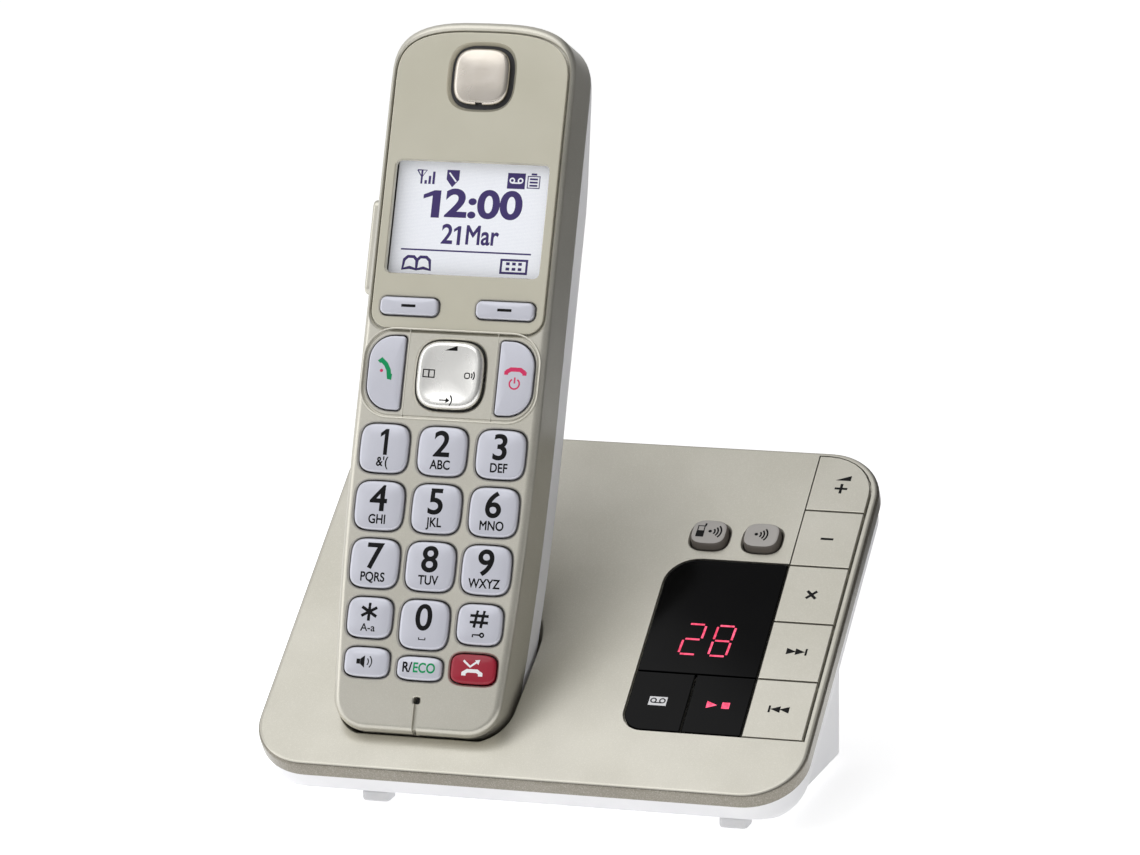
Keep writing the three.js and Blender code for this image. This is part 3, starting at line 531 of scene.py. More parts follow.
# %% Inks and lights
# Pad printing inks are matt and thin, so they reflect little.
PAD_PRINT = {"grain": 0.3, "depth": 0.004, "Specular_IOR_Level": 0.15}
black_ink = moulding("black_pad_print", "#0D0D10", "#08080A", 0.5, **PAD_PRINT)
green_ink = moulding("green_pad_print", "#12925A", "#0E8450", 0.45, **PAD_PRINT)
red_ink = moulding("red_pad_print", "#D23A66", "#C8335E", 0.45, **PAD_PRINT)
white_ink = moulding("white_pad_print", "#EDEDEF", "#E2E2E5", 0.45, **PAD_PRINT)
lcd_ink = moulding("lcd_dots_dark", "#473B70", "#3F3467", 0.4, **PAD_PRINT)
# The lit liquid crystal: a pale blue white, faintly ruled by cells 0.25 mm apart.
lcd_light, tree, shader, place = blank("lit_liquid_crystal")
cells = add(tree, "ShaderNodeTexBrick", {"Vector": place}, {
    "Scale": per_mm(0.5), "Mortar Size": 0.03, "Color1": linear("#EFF1F6"), "Color2": linear("#EBEDF3"),
    "Mortar": linear("#DFE2EA")})
tree.links.new(cells.outputs["Color"], shader.inputs["Base Color"])
tree.links.new(cells.outputs["Color"], shader.inputs["Emission Color"])
shader.inputs["Emission Strength"].default_value = 0.1
shader.inputs["Roughness"].default_value = 0.25
# Red segments of the message counter, brighter along their middles.
led_red, tree, shader, place = blank("red_led_segment")
tree.links.new(shade(tree, place, "#F4577A", "#C92C4E", 1.2), shader.inputs["Base Color"])
tree.links.new(shade(tree, place, "#F4577A", "#C92C4E", 1.2), shader.inputs["Emission Color"])
shader.inputs["Emission Strength"].default_value = 0.9
print(len(bpy.data.materials), "materials")

# %% [markdown]
# ## The handset's shape
# The handset is a long rounded slab. Its sides draw in towards the foot, its top
# is a soft crown, and its back slopes forward above the battery. One outline
# serves both housings, their hollows and the well in the base.

# %% The handset's outline and body
low, high = span("handset_front_housing", HANDSET)
HALF_WIDTH = high.x
LENGTH = high.y
THICKNESS = -span("handset_rear_housing", HANDSET)[0].z
PARTING = -low.z
FOOT_HALF = 21.2
TAPER_START = 74.5
BOTTOM_RADIUS = 8.5
CROWN, CROWN_POWER = 15.6, 3.1
FRONT_ROUND, BACK_ROUND = 1.9, 6.5
WALL = 1.7
BACK_BEND, BACK_SLOPE = 109, math.radians(12)
FAR = 300
print("handset", round(2 * HALF_WIDTH, 1), "x", round(LENGTH, 1), "x", round(THICKNESS, 1))


def crown(half, top, height, count=28):
    points = []
    for step in range(count + 1):
        angle = math.pi * step / count
        x = math.copysign(abs(math.cos(angle)) ** (2 / CROWN_POWER), math.cos(angle)) * half
        points.append((x, top - height + math.sin(angle) ** (2 / CROWN_POWER) * height if 0 < step < count
                       else top - height))
    return points


def bend(start, control, end, count=10):
    """A smooth curve from start to end, pulled towards control."""
    points = []
    for step in range(1, count):
        t = step / count
        points.append(tuple((1 - t) ** 2 * s + 2 * t * (1 - t) * c + t * t * e
                            for s, c, e in zip(start, control, end)))
    return points


def handset_outline(inset=0.0):
    half, foot, radius = HALF_WIDTH - inset, FOOT_HALF - inset, BOTTOM_RADIUS - inset
    side = math.atan(2 * (half - foot) / (TAPER_START - BOTTOM_RADIUS))
    centre = (foot - radius * math.cos(side), inset + radius)
    quarter = side / (math.pi / 2)
    right = arc(centre, radius, -1, -quarter, 10)
    mid = (right[-1][1] + TAPER_START) / 2
    right += bend(right[-1], (half, mid), (half, TAPER_START)) + [(half, TAPER_START)]
    left = [(-x, y) for x, y in reversed(right)]
    return right + crown(half, LENGTH - inset, CROWN - inset) + left


def behind_slope(inset=0.0):
    """Everything behind the sloping upper back."""
    tool = box_tool((-FAR, -FAR, -FAR), (FAR, FAR, 0))
    turn = Matrix.Rotation(BACK_SLOPE, 4, "X")
    rise = -THICKNESS + inset / math.cos(BACK_SLOPE)
    tool.data.transform(Matrix.Translation((0, BACK_BEND, rise)) @ turn)
    return tool


def handset_body(inset=0.0, front=None):
    """The closed shape of the whole handset, or of its hollow when inset."""
    front = -inset if front is None else front
    body = prism("body", handset_outline(inset), -THICKNESS + inset, front,
                 bottom_round=BACK_ROUND - inset, count=7)
    return boolean(body, behind_slope(inset))


# %% [markdown]
# ## Keys and their holes
# A keycap is moulded in one shot with a domed top and soft rims. Its hole in the
# face is a little wider and has a flared lip that catches the light. The cap
# reaches down behind the face, onto the rubber mat.

# %% Keycaps
KEY_GAP = 0.35
FLANGE_BOTTOM = span("key_5", HANDSET)[0].z


def keycap(name, points, top, rim=0.9, dome=0.3):
    """A cap on its outline, with a quarter round rim and a slightly raised top."""
    cap = outline_face(name, points, FLANGE_BOTTOM)
    shape_end(cap, [(0, top - FLANGE_BOTTOM - rim)])
    shape_end(cap, round_over(rim, 6, rim - dome))
    return swell_end(cap, [(0.86, dome * 0.42), (0.78, dome * 0.3), (0.62, dome * 0.2), (0.4, dome * 0.08)])


def hole(points, depth=-6, lip=0.28):
    """A cutter with the outline given, flared at the face."""
    cutter = outline_face("hole", points, depth)
    shape_end(cutter, [(0, -depth - lip)])
    shape_end(cutter, [(-lip * 0.25, lip * 0.55), (-lip * 0.75, lip * 0.45)])
    return shape_end(cutter, [(0, 1.5)])


def node_box(node):
    """Middle of a key seen from the front, and how far it stands out."""
    low, high = span(node, HANDSET)
    return Vector((middle((low.x, high.x)), middle((low.y, high.y)))), high.z


CAP_SIZES = {"digit": (12.2, 11.9), "symbol": (11.2, 9.8), "function": (11.2, 7.1), "recall": (11.2, 5.6)}
key_kinds = {f"key_{digit}": "digit" for digit in range(10)}
key_kinds.update(key_star="symbol", key_hash="symbol", key_speakerphone="function",
                 key_block="function", key_recall="recall")
key_spots = {}
hole_tools = []
for name, kind in key_kinds.items():
    spot, top = node_box(name)
    if kind == "digit" or kind == "recall":
        spot.x = round(spot.x, 2)
    key_spots[name] = (spot.x, spot.y, top)
    width, height = CAP_SIZES[kind]
    cap = keycap(name, squircle(width, height, centre=spot), top, rim=min(0.9, height / 7))
    finish(cap, name + "_cap", HANDSET, name, crimson_abs if name == "key_block" else key_abs,
           [name])
    hole_tools.append(hole(squircle(width + 2 * KEY_GAP, height + 2 * KEY_GAP, centre=spot)))
print(len(key_spots), "keycaps")

# %% [markdown]
# ## Talk, off and the navigator
# Talk and off flank a big satin chrome navigator. Their outer corners are large
# and follow a frame drawn round the whole row. The navigator is dished in its
# middle, so that a thumb finds it.

# %% Call keys, soft keys and navigator
CALL_SIZE = (8.8, 18.1)
for name, side in (("key_talk", -1), ("key_off", 1)):
    spot, top = node_box(name)
    spot.x = side * 16.5
    key_spots[name] = (spot.x, spot.y, top)

    def call_outline(grow):
        outer, inner = 6 + grow, 0.8 + grow
        radii = [outer, inner, inner, outer] if side < 0 else [inner, outer, outer, inner]
        reach_x, reach_y = CALL_SIZE[0] / 2 + grow, CALL_SIZE[1] / 2 + grow
        return rounded_box((spot.x - reach_x, spot.y - reach_y), (spot.x + reach_x, spot.y + reach_y), radii)

    cap = keycap(name, call_outline(0), top, rim=0.5, dome=0.22)
    finish(cap, name + "_cap", HANDSET, name, key_abs, [name])
    hole_tools.append(hole(call_outline(KEY_GAP), lip=0.2))

soft_tools = []
SOFT_SIZE = (14.7, 4.3)
for name in ("soft_key_left", "soft_key_right"):
    spot, top = node_box(name)
    key_spots[name] = (spot.x, spot.y, top)

    def soft_outline(grow):
        reach_x, reach_y = SOFT_SIZE[0] / 2 + grow, SOFT_SIZE[1] / 2 + grow
        return rounded_box((spot.x - reach_x, spot.y - reach_y), (spot.x + reach_x, spot.y + reach_y),
                           [1.5 + grow] * 4)

    cap = keycap(name, soft_outline(0), top, rim=0.6, dome=0.12)
    finish(cap, name + "_cap", HANDSET, name, key_abs, [name])
    soft_tools += [hole(soft_outline(KEY_GAP)), hole(soft_outline(KEY_GAP))]

navigator_spot, navigator_top = node_box("navigator_key")
navigator_low = span("navigator_key", HANDSET)[0].z
NAVIGATOR_SIZE = 16.8
navigator = outline_face("navigator", squircle(NAVIGATOR_SIZE, NAVIGATOR_SIZE, 3.4, 72, navigator_spot),
                         navigator_low)
shape_end(navigator, [(0, navigator_top - navigator_low - 1.5)])
shape_end(navigator, round_over(1.4, 8, 1.5))
swell_end(navigator, [(0.9, -0.12), (0.8, -0.2), (0.7, -0.15), (0.5, -0.08), (0.4, -0.03)])
finish(navigator, "navigator_key_cap", HANDSET, "navigator_key", satin_chrome,
       ["navigator_key"], 50)
hole_tools.append(hole(squircle(NAVIGATOR_SIZE + 1, NAVIGATOR_SIZE + 1, 3.4, 72, navigator_spot), lip=0.3))
print("navigator dished", round(navigator_top, 2), "mm proud")

# %% [markdown]
# ## The front housing
# One lacquered moulding holds the keypad and the recess of the display panel. It
# could be sculpted, but cutting it with the caps' own outlines keeps every gap
# even. The row of call keys has a frame drawn as a fine raised bead.

# %% Front housing
PANEL_MARGIN, PANEL_TOP_MARGIN, PANEL_BOTTOM = 1.5, 2.6, 98
PANEL_RADIUS, PANEL_GAP, PANEL_RECESS = 4.5, 0.25, 1.5
DISPLAY_SIZE = (38.9, 27.9)
display_middle = 125.9
ear_spot, ear_top = node_box("earpiece_cover")
EAR_SIZE = 14.2


def panel_outline(inset):
    half, radius = HALF_WIDTH - PANEL_MARGIN - inset, PANEL_RADIUS - inset
    front = PANEL_BOTTOM + inset
    points = arc((half - radius, front + radius), radius, -1, 0)
    points += crown(half, LENGTH - PANEL_TOP_MARGIN - inset, CROWN - PANEL_TOP_MARGIN - inset)
    return points + arc((-half + radius, front + radius), radius, 2, 3)


def display_outline(grow):
    reach_x, reach_y = DISPLAY_SIZE[0] / 2 + grow, DISPLAY_SIZE[1] / 2 + grow
    return rounded_box((-reach_x, display_middle - reach_y), (reach_x, display_middle + reach_y),
                       [1.4 + grow] * 4)


front = prism("front", handset_outline(), -PARTING, 0, top_round=FRONT_ROUND, count=7)
boolean(front, behind_slope())
hollow = prism("hollow", handset_outline(WALL), -PARTING - 2, -PANEL_RECESS - 1.3)
boolean(hollow, behind_slope(WALL))
boolean(front, hollow)
recess = outline_face("recess", panel_outline(-PANEL_GAP), -PANEL_RECESS)
shape_end(recess, [(0, PANEL_RECESS - 0.45)])
shape_end(recess, [(-0.12, 0.25), (-0.3, 0.2)])
shape_end(recess, [(0, 2)])
boolean(front, recess)
boolean(front, prism("opening", display_outline(0.6), -6, 2))
boolean(front, prism("opening", squircle(10, 10, 2, 32, ear_spot), -6, 2))
boolean(front, hole(squircle(1.7, 1.7, 4, 20, (0, 8)), lip=0.2))
boolean(front, box_tool((-0.5, -1, -0.8), (0.5, 8, 1)))
boolean(front, stroke([(0, 8, 0.1), (0, 1.9, 0.1), (0, 0.7, -0.4), (0, 0.05, -1.6), (0, -0.1, -4)],
                      1.1, flat=False))
frame_row = middle([corner.y for corner in span("key_talk", HANDSET)])


def call_frame(inset):
    return rounded_box((-22.4 + inset, frame_row - 11 + inset), (22.4 - inset, frame_row + 11 - inset),
                       [7.5 - inset] * 4, 10)


boolean(front, stroke(call_frame(0.55), 0.5, closed=True, flat=False))
for tool in hole_tools + soft_tools[::2]:
    boolean(front, tool)
side_low, side_high = span("side_volume_key", HANDSET)
side_spot = (side_low + side_high) / 2
SIDE_SIZE = (23.6, 4)
slot_tool = prism("slot", rounded_box((-SIDE_SIZE[1] / 2 - 0.35, -SIDE_SIZE[0] / 2 - 0.35),
                                      (SIDE_SIZE[1] / 2 + 0.35, SIDE_SIZE[0] / 2 + 0.35), [2.2] * 4), 15, 40)
side_turn = Matrix.Translation((0, side_spot.y, side_spot.z)) @ Matrix.Rotation(-math.pi / 2, 4, "Y")
slot_tool.data.transform(side_turn)
boolean(front, slot_tool)
finish(front, "front_housing", HANDSET, "handset", champagne, ["handset_front_housing"])
print("front housing", len(front.data.polygons), "faces")

# %% Bead round the call keys and the side volume key
beads = [stroke(call_frame(0), 0.5, closed=True, flat=False, height=0.03)]
for side in (-1, 1):
    x = side * 11.2
    beads.append(stroke([(x, frame_row - 10.8), (x, frame_row + 10.8)], 0.24, flat=False, height=-0.02))
finish(join("beads", beads), "call_row_bead", HANDSET, "handset", champagne)

side_outline = rounded_box((-SIDE_SIZE[1] / 2, -SIDE_SIZE[0] / 2), (SIDE_SIZE[1] / 2, SIDE_SIZE[0] / 2),
                           [1.9] * 4)
side_key = prism("side_key", side_outline, -side_high.x, -side_low.x, top_round=0.8)
side_key.data.transform(side_turn)
ribs = []
for step in (-1, 1):
    rib = stroke([(0, -2.6), (0, 2.6)], 0.5, flat=False)
    rib.data.transform(side_turn @ Matrix.Translation((0, step * 6.5, -side_low.x - 0.12)))
    ribs.append(rib)
finish(join("side_key", [side_key] + ribs), "side_volume_cap", HANDSET, "side_volume_key", champagne,
       ["side_volume_key"], 45)
print("side key at", round(side_spot.y, 1))

# %% [markdown]
# ## Display panel, earpiece and liquid crystal
# The upper face is a clear moulding painted on its back, so it shines. Sound
# comes out round a satin chrome cap in a soft dish. Under the opening lies the
# lit liquid crystal with its dark symbols.

# %% Panel and earpiece
panel_low, panel_high = span("display_panel", HANDSET)
panel = prism("panel", panel_outline(0.15), panel_low.z, panel_high.z, top_round=0.22, count=3)
dish = outline_face("dish", squircle(EAR_SIZE + 1.7, EAR_SIZE + 1.7, 3.2, 64, ear_spot), -4)
shape_end(dish, [(0, 4 + panel_high.z - 0.62)])
shape_end(dish, [(-0.5, 0.26), (-0.7, 0.2), (-0.9, 0.12), (-0.9, 0.04)])
shape_end(dish, [(0, 2)])
boolean(panel, dish)
window_cut = outline_face("window_cut", display_outline(0), -4)
shape_end(window_cut, [(0, 4 + panel_high.z - 0.3)])
shape_end(window_cut, [(-0.3, 0.22), (-0.2, 0.1)])
shape_end(window_cut, [(0, 2)])
boolean(panel, window_cut)
for tool in soft_tools[1::2]:
    boolean(panel, tool)
finish(panel, "display_panel_cover", HANDSET, "handset", panel_gloss, ["display_panel"])

ear_low = span("earpiece_cover", HANDSET)[0].z
ear = outline_face("ear", squircle(EAR_SIZE - 0.2, EAR_SIZE - 0.2, 3.4, 72, ear_spot), ear_low)
shape_end(ear, [(0, ear_top - ear_low - 1.2)])
shape_end(ear, round_over(1.3, 7, 0.95))
swell_end(ear, [(0.85, 0.13), (0.75, 0.08), (0.5, 0.04)])
boolean(ear, box_tool((-0.9, ear_spot.y - EAR_SIZE / 2 - 1, -3), (0.9, ear_spot.y - EAR_SIZE / 2 + 0.55, 2)))
finish(ear, "earpiece_cap", HANDSET, "handset", warm_chrome, ["earpiece_cover"], 45)

gasket = prism("gasket", squircle(EAR_SIZE + 2.6, EAR_SIZE + 2.6, 3.4, 64, ear_spot),
               ear_low - 0.26, ear_low - 0.04)
boolean(gasket, prism("hole", squircle(9, 9, 2, 32, ear_spot), -6, 2))
finish(gasket, "earpiece_gasket", HANDSET, "handset", dark_abs)
print("earpiece fitted")

# %% Liquid crystal and its symbols
lcd_low, lcd_high = span("lcd_module", HANDSET)
glass = prism("glass", rounded_box(lcd_low, lcd_high, [0.5] * 4), lcd_low.z, lcd_high.z,
              top_round=0.2, count=2)
finish(glass, "lcd_glass", HANDSET, "handset", lcd_light, ["lcd_module"])
LCD_TOP = lcd_high.z
ABOVE = LCD_TOP + INK  # light cut-outs lie on top of dark shapes
TIME_ROW, DATE_ROW, TOP_ROW = display_middle + 3.9, display_middle - 3.7, display_middle + 10.4
symbols = [numeral_one(-10.3, TIME_ROW, 6.8, 2.1, LCD_TOP),
           text("2:00", 2.9, TIME_ROW, 6.6, 0.045, LCD_TOP, 1.2),
           numeral_one(-3.0, DATE_ROW, 4.7, 0.85, LCD_TOP),
           text("2", -5.6, DATE_ROW, 4.7, 0.03, LCD_TOP, 0.9),
           text("Mar", 3.2, DATE_ROW, 4.6, 0.03, LCD_TOP, 0.8)]
cutouts = []


def lcd_fill(points):
    symbols.append(mark(points, LCD_TOP))


def lcd_line(points, width, closed=False):
    symbols.append(stroke(points, width, LCD_TOP, closed))


lcd_line(at((0, display_middle), (-17.0, -7.6), (16.2, -7.6)), 0.4)
antenna = (-13.6, display_middle + 10.6)
lcd_line(at(antenna, (0, -1.8), (0, 1.6)), 0.5)
lcd_line(at(antenna, (-1.2, 1.6), (0, -0.2), (1.2, 1.6), (-1.2, 1.6)), 0.35)
for step, tall in enumerate((0.9, 2.0, 3.1)):
    lcd_fill(box_points(antenna[0] + 1.1 + step, antenna[1] - 1.8 + tall / 2, 0.6, tall))
shield = (-5.6, display_middle + 10.5)
lcd_fill(at(shield, (-1.6, 2.0), (1.6, 2.0), (1.6, -0.4), (0, -2.3), (-1.6, -0.4))[::-1])
cutouts.append(stroke(at(shield, (-1.0, 1.3), (0.9, -0.9)), 0.4, ABOVE))
voice_box = (10.6, TOP_ROW)
lcd_fill(box_points(*voice_box, 4.5, 3.9))
for side in (-1, 1):
    reel = squircle(1.1, 1.1, 2, 16, (voice_box[0] + side * 1.05, voice_box[1] + 0.1))
    cutouts.append(stroke(reel, 0.36, ABOVE, closed=True))
cutouts.append(stroke(at(voice_box, (-1.05, -0.5), (1.05, -0.5)), 0.36, ABOVE))
battery = (15.0, TOP_ROW)
lcd_line(rounded_box(*at(battery, (-1.5, -1.6), (1.5, 1.3)), [0] * 4), 0.35, closed=True)
lcd_fill(box_points(battery[0], battery[1] + 1.8, 1.4, 0.5))
for step in range(3):
    lcd_fill(box_points(battery[0], battery[1] - 1.0 + step * 0.8, 2.0, 0.45))
for side in (-1, 1):
    page = (-12.6 + side * 1.75, display_middle)
    lcd_line(at(page, (-side * 1.7, -12.5), (-side * 1.7, -10.2), (-side * 0.9, -9.4), (side * 0.6, -9.4),
                (side * 1.5, -10.2), (side * 1.8, -12.5), (0, -12.1)), 0.8, closed=True)
lcd_line(rounded_box(*at((0, display_middle), (8.9, -12.4), (15.4, -9.2)), [0] * 4), 0.8, closed=True)
for column in range(3):
    for row in range(2):
        lcd_fill(box_points(10.6 + column * 1.55, display_middle - 11.4 + row * 1.3, 0.9, 0.7))
finish(join("symbols", symbols), "lcd_symbols", HANDSET, "handset", lcd_ink)
finish(join("cutouts", cutouts), "lcd_symbol_cutouts", HANDSET, "handset", lcd_light)
print("display drawn")

# %% [markdown]
# ## Rear housing and battery cover
# The back is white ABS. Its lower half stands in by the thickness of the sliding
# battery cover, so both end up flush. The ringer speaks through five slots.

# %% Rear housing and battery cover
cover_low, cover_high = span("battery_cover", HANDSET)
COVER_WALL, COVER_GAP, COVER_TRAVEL = 1.6, 0.3, 3
SEAT = COVER_WALL + COVER_GAP
BAY_WALL = 1.2
bay_low = Vector((-11.8, 26, -FAR))
bay_high = Vector((11.8, 78, -12.2))
RINGER_HEIGHT = middle([corner.y for corner in span("ringer_speaker", HANDSET)])

rear = boolean(handset_body(), box_tool((-FAR, -FAR, -PARTING - COVER_GAP), (FAR, FAR, FAR)))
step_tool = box_tool((-FAR, cover_low.y - COVER_TRAVEL - COVER_GAP, -FAR),
                     (FAR, cover_high.y + COVER_GAP, cover_high.z + COVER_GAP))
boolean(rear, boolean(step_tool, handset_body(SEAT)))
bay = (bay_low - Vector((BAY_WALL, BAY_WALL, 0)), bay_high + Vector((BAY_WALL, BAY_WALL, 0)))
inside = boolean(handset_body(SEAT + WALL), box_tool(*bay))
boolean(rear, inside)
upper = boolean(handset_body(WALL), box_tool((-FAR, -FAR, -FAR), (FAR, cover_high.y + COVER_GAP + WALL, FAR)))
boolean(rear, upper)
tray = box_tool((bay[0].x, bay[0].y, -PARTING - 2), (bay[1].x, bay[1].y, bay_high.z))
boolean(rear, tray, "UNION")
boolean(rear, box_tool(bay_low, (bay_high.x, bay_high.y, bay_high.z - BAY_WALL)))
for step in range(-2, 3):
    y = RINGER_HEIGHT + 3 * step
    half = 5.5 - abs(step) * 0.8
    slot = prism("slot", rounded_box((-half, y - 0.6), (half, y + 0.6), [0.59] * 4), -FAR, -THICKNESS / 2 - 5)
    boolean(rear, slot)
for side in (-1, 1):
    low, high = span("handset_contact_left" if side < 0 else "handset_contact_right", HANDSET)
    boolean(rear, box_tool((low.x - COVER_GAP, -1, low.z - COVER_GAP),
                           (high.x + COVER_GAP, 9, high.z + COVER_GAP)))
finish(rear, "rear_housing", HANDSET, "handset", white_abs, ["handset_rear_housing"], 30)

cover = boolean(handset_body(), handset_body(COVER_WALL))
boolean(cover, box_tool((-FAR, cover_low.y, -FAR), (FAR, cover_high.y, cover_high.z)), "INTERSECT")
for step in range(5):
    y = cover_high.y - 9 - 2.2 * step
    half = 8 - 1.2 * step
    boolean(cover, stroke([(-half, y, -THICKNESS - 0.1), (half, y, -THICKNESS - 0.1)], 0.9, flat=False))
finish(cover, "battery_cover_moulding", HANDSET, "battery_cover", white_abs,
       ["battery_cover"], 30)
print("rear housing", len(rear.data.polygons), "faces, cover", len(cover.data.polygons))

# %% [markdown]
# ## What is printed on the keys
# The digits are large and bold, for easy reading, with small letters below. Each
# key's print is one thin mesh that rides with its own key.

# %% Digits and letters
LETTERS = {"1": "&'(", "2": "ABC", "3": "DEF", "4": "GHI", "5": "JKL", "6": "MNO", "7": "PQRS", "8": "TUV",
           "9": "WXYZ", "0": ""}


def slice_up(piece, pitch=0.7):
    """Cuts a print along a grid, so that its wide faces can follow a swelling surface."""
    pick(piece)
    bpy.ops.object.mode_set(mode="EDIT")
    for axis, normal in ((0, (1, 0, 0)), (1, (0, 1, 0))):
        spread_over = [corner[axis] for corner in piece.bound_box]
        low, high = min(spread_over), max(spread_over)
        for step in range(1, math.ceil((high - low) / pitch)):
            at = low + step * pitch
            bpy.ops.mesh.select_all(action="SELECT")
            bpy.ops.mesh.bisect(plane_co=(at, at, 0), plane_no=normal)
    bpy.ops.object.mode_set(mode="OBJECT")


def lay_on(piece, under, place, top):
    """Lowers or lifts each corner of a print onto the swelling surface under it."""
    slice_up(piece)
    bpy.context.view_layer.update()
    down = -(place.to_3x3() @ Vector((0, 0, 1))).normalized()
    for vertex in piece.data.vertices:
        start = place @ Vector((vertex.co.x, vertex.co.y, top + 4))
        hit, spot, _, _ = under.ray_cast(start, down)
        if hit:
            vertex.co.z += (place.inverted() @ spot).z - top


def print_on(name, shapes, ink, top=0.0, place=HANDSET, suffix="_print", slot="keycap", under=None):
    piece = join(name, shapes)
    if under:
        lay_on(piece, bpy.data.objects[name + under], place, top)
    return finish(piece, name + suffix, place, name, ink)


def lines(spot, *drawn):
    """Strokes on a key: each is a width followed by its points, as offsets from the key's middle."""
    return [stroke(at(spot, *points), width, spot[2]) for width, *points in drawn]


def fills(spot, *drawn):
    """Filled shapes on a key, as offsets from its middle."""
    return [mark(at(spot, *points), spot[2]) for points in drawn]


def ink_key(name, shapes, ink, **more):
    return print_on(name, shapes, ink, key_spots[name][2], under="_cap", **more)


for digit, letters in LETTERS.items():
    spot = key_spots[f"key_{digit}"]
    x, y, top = spot
    shapes = [numeral_one(x + 0.1, y + 1.45, 6.4, 0.95, top) if digit == "1"
              else text(digit, x, y + 1.35, 6.1, 0.026, top)]
    if digit == "0":
        shapes += lines(spot, [0.32, (-0.8, -3.2), (-0.8, -3.7), (0.8, -3.7), (0.8, -3.2)])
    else:
        shapes.append(text(letters, x, y - 3.5, 2.15, 0.034, top, 0.84))
    ink_key(f"key_{digit}", shapes, black_ink)

x, y, top = key_spots["key_star"]
STAR = 2.2
spokes = [stroke([(x - STAR * math.cos(a), y + 1.3 - STAR * math.sin(a)),
                  (x + STAR * math.cos(a), y + 1.3 + STAR * math.sin(a))], 0.75, top)
          for a in (math.pi / 2, math.pi / 6, -math.pi / 6)]
ink_key("key_star", spokes + [text("A-a", x, y - 2.6, 1.8, 0.02, top)], black_ink)
spot = key_spots["key_hash"]
bars = lines(spot, *[[0.7, (-2.3, 1.2 + dy), (2.3, 1.2 + dy)] for dy in (-0.8, 0.8)],
             *[[0.7, (dx - 0.3, -0.9), (dx + 0.3, 3.3)] for dx in (-0.85, 0.85)])
keyhole = [stroke(squircle(0.9, 0.9, 2, 16, (spot[0] + 1.0, spot[1] - 2.6)), 0.42, spot[2], closed=True)]
ink_key("key_hash", bars + keyhole + lines(spot, [0.42, (0.5, -2.6), (-1.3, -2.6), (-1.3, -3.2)]), black_ink)

# %% Symbols on the other keys
spot = key_spots["key_speakerphone"]
x, y, top = spot
speaker = [mark(box_points(x - 1.9, y, 0.9, 1.2), top)]
speaker += fills(spot, [(-1.4, -0.6), (-0.3, -1.5), (-0.3, 1.5), (-1.4, 0.6)])
speaker += [stroke(arc((x - 0.4, y), radius, -0.5, 0.5), 0.3, top) for radius in (1.1, 1.9)]
ink_key("key_speakerphone", speaker, black_ink)
x, y, top = key_spots["key_recall"]
ink_key("key_recall", [text("R/", x - 3.0, y, 2.3, 0.045, top, 0.85)], black_ink)
ink_key("key_recall", [text("ECO", x + 1.3, y, 2.3, 0.035, top, 0.84)], green_ink, suffix="_eco_print")
spot = key_spots["key_block"]
x, y, top = spot
block = lines(spot, [0.55, (-2.4, 1.9), (-0.6, 0.5), (1.2, 1.9)])
block += fills(spot, [(1.7, 2.3), (0.5, 2.1), (1.4, 1.0)])
block += lines(spot, [0.9, (-2.3, -1.2), (-1.2, -0.5), (1.2, -0.5), (2.3, -1.2)])
block += [mark(box_points(x + dx, y - 1.3, 1.1, 0.8), top) for dx in (-2.1, 2.1)]
ink_key("key_block", block, white_ink)
for name in ("soft_key_left", "soft_key_right"):
    ink_key(name, lines(key_spots[name], [0.7, (-1.8, 0), (1.8, 0)]), black_ink)

spot = key_spots["key_talk"]
receiver = lines(spot, [1.15, (-1.2, 3.0), (0.1, 1.9), (0.9, 0.5), (1.2, -1.2)])
receiver += fills(spot, [(-2.1, 2.7), (-1.0, 3.6), (-0.4, 2.9), (-1.4, 2.1)],
                  [(0.6, -0.6), (1.9, -0.4), (1.8, -1.9), (0.7, -1.7)])
ink_key("key_talk", receiver, green_ink)
lamp_dot = squircle(0.8, 0.8, 2, 20, (spot[0] - 0.9, spot[1] + 0.3))
ink_key("key_talk", [mark(lamp_dot, spot[2])], red_ink, suffix="_lamp")
spot = key_spots["key_off"]
x, y, top = spot
hangup = lines(spot, [1.1, (-2.3, 1.5), (-1.2, 2.2), (1.2, 2.2), (2.3, 1.5)])
hangup += [mark(box_points(x + dx, y + 1.3, 1.0, 0.9), top) for dx in (-2.3, 2.3)]
hangup += [stroke(arc((x, y - 1.3), 1.25, 1.35, 4.65, 20), 0.4, top),
           stroke([(x, y - 1.2), (x, y + 0.3)], 0.4, top)]
ink_key("key_off", hangup, red_ink)

# The navigator's marks follow its dished top.
x, y = navigator_spot
spot = key_spots["navigator_key"] = (x, y, navigator_top)
arrows = fills(spot, [(-1.6, 5.9), (1.6, 5.9), (1.6, 7.1)], [(0.9, -6.3), (-0.1, -5.6), (-0.1, -7.0)])
arrows += [stroke(box_points(x - 5.1, y + 0.1, 2.7, 1.8), 0.4, spot[2], closed=True)]
arrows += lines(spot, [0.36, (-5.1, -0.7), (-5.1, 1.0)], [0.32, (-1.8, -6.3), (0.3, -6.3)])
arrows += [stroke(arc((x - 0.4, y - 6.3), 1.8, -0.5, 0.5), 0.36, spot[2]),
           stroke(squircle(1.3, 1.3, 3, 20, (x + 4.6, y)), 0.3, spot[2], closed=True)]
arrows += [stroke(arc((x + 4.9, y), radius, -0.4, 0.4), 0.36, spot[2]) for radius in (1.0, 1.6)]
ink_key("navigator_key", arrows, black_ink, slot="satin_chrome")
print("keys printed")

# %% [markdown]
# ## The base's top cover
# The sloping plate is one lacquered moulding. The handset's well is a cup moulded
# with it, cut here by the handset's own shape grown by the clearance, and its lip
# is softened by a bevel. Pockets hold the window and the strip of buttons.

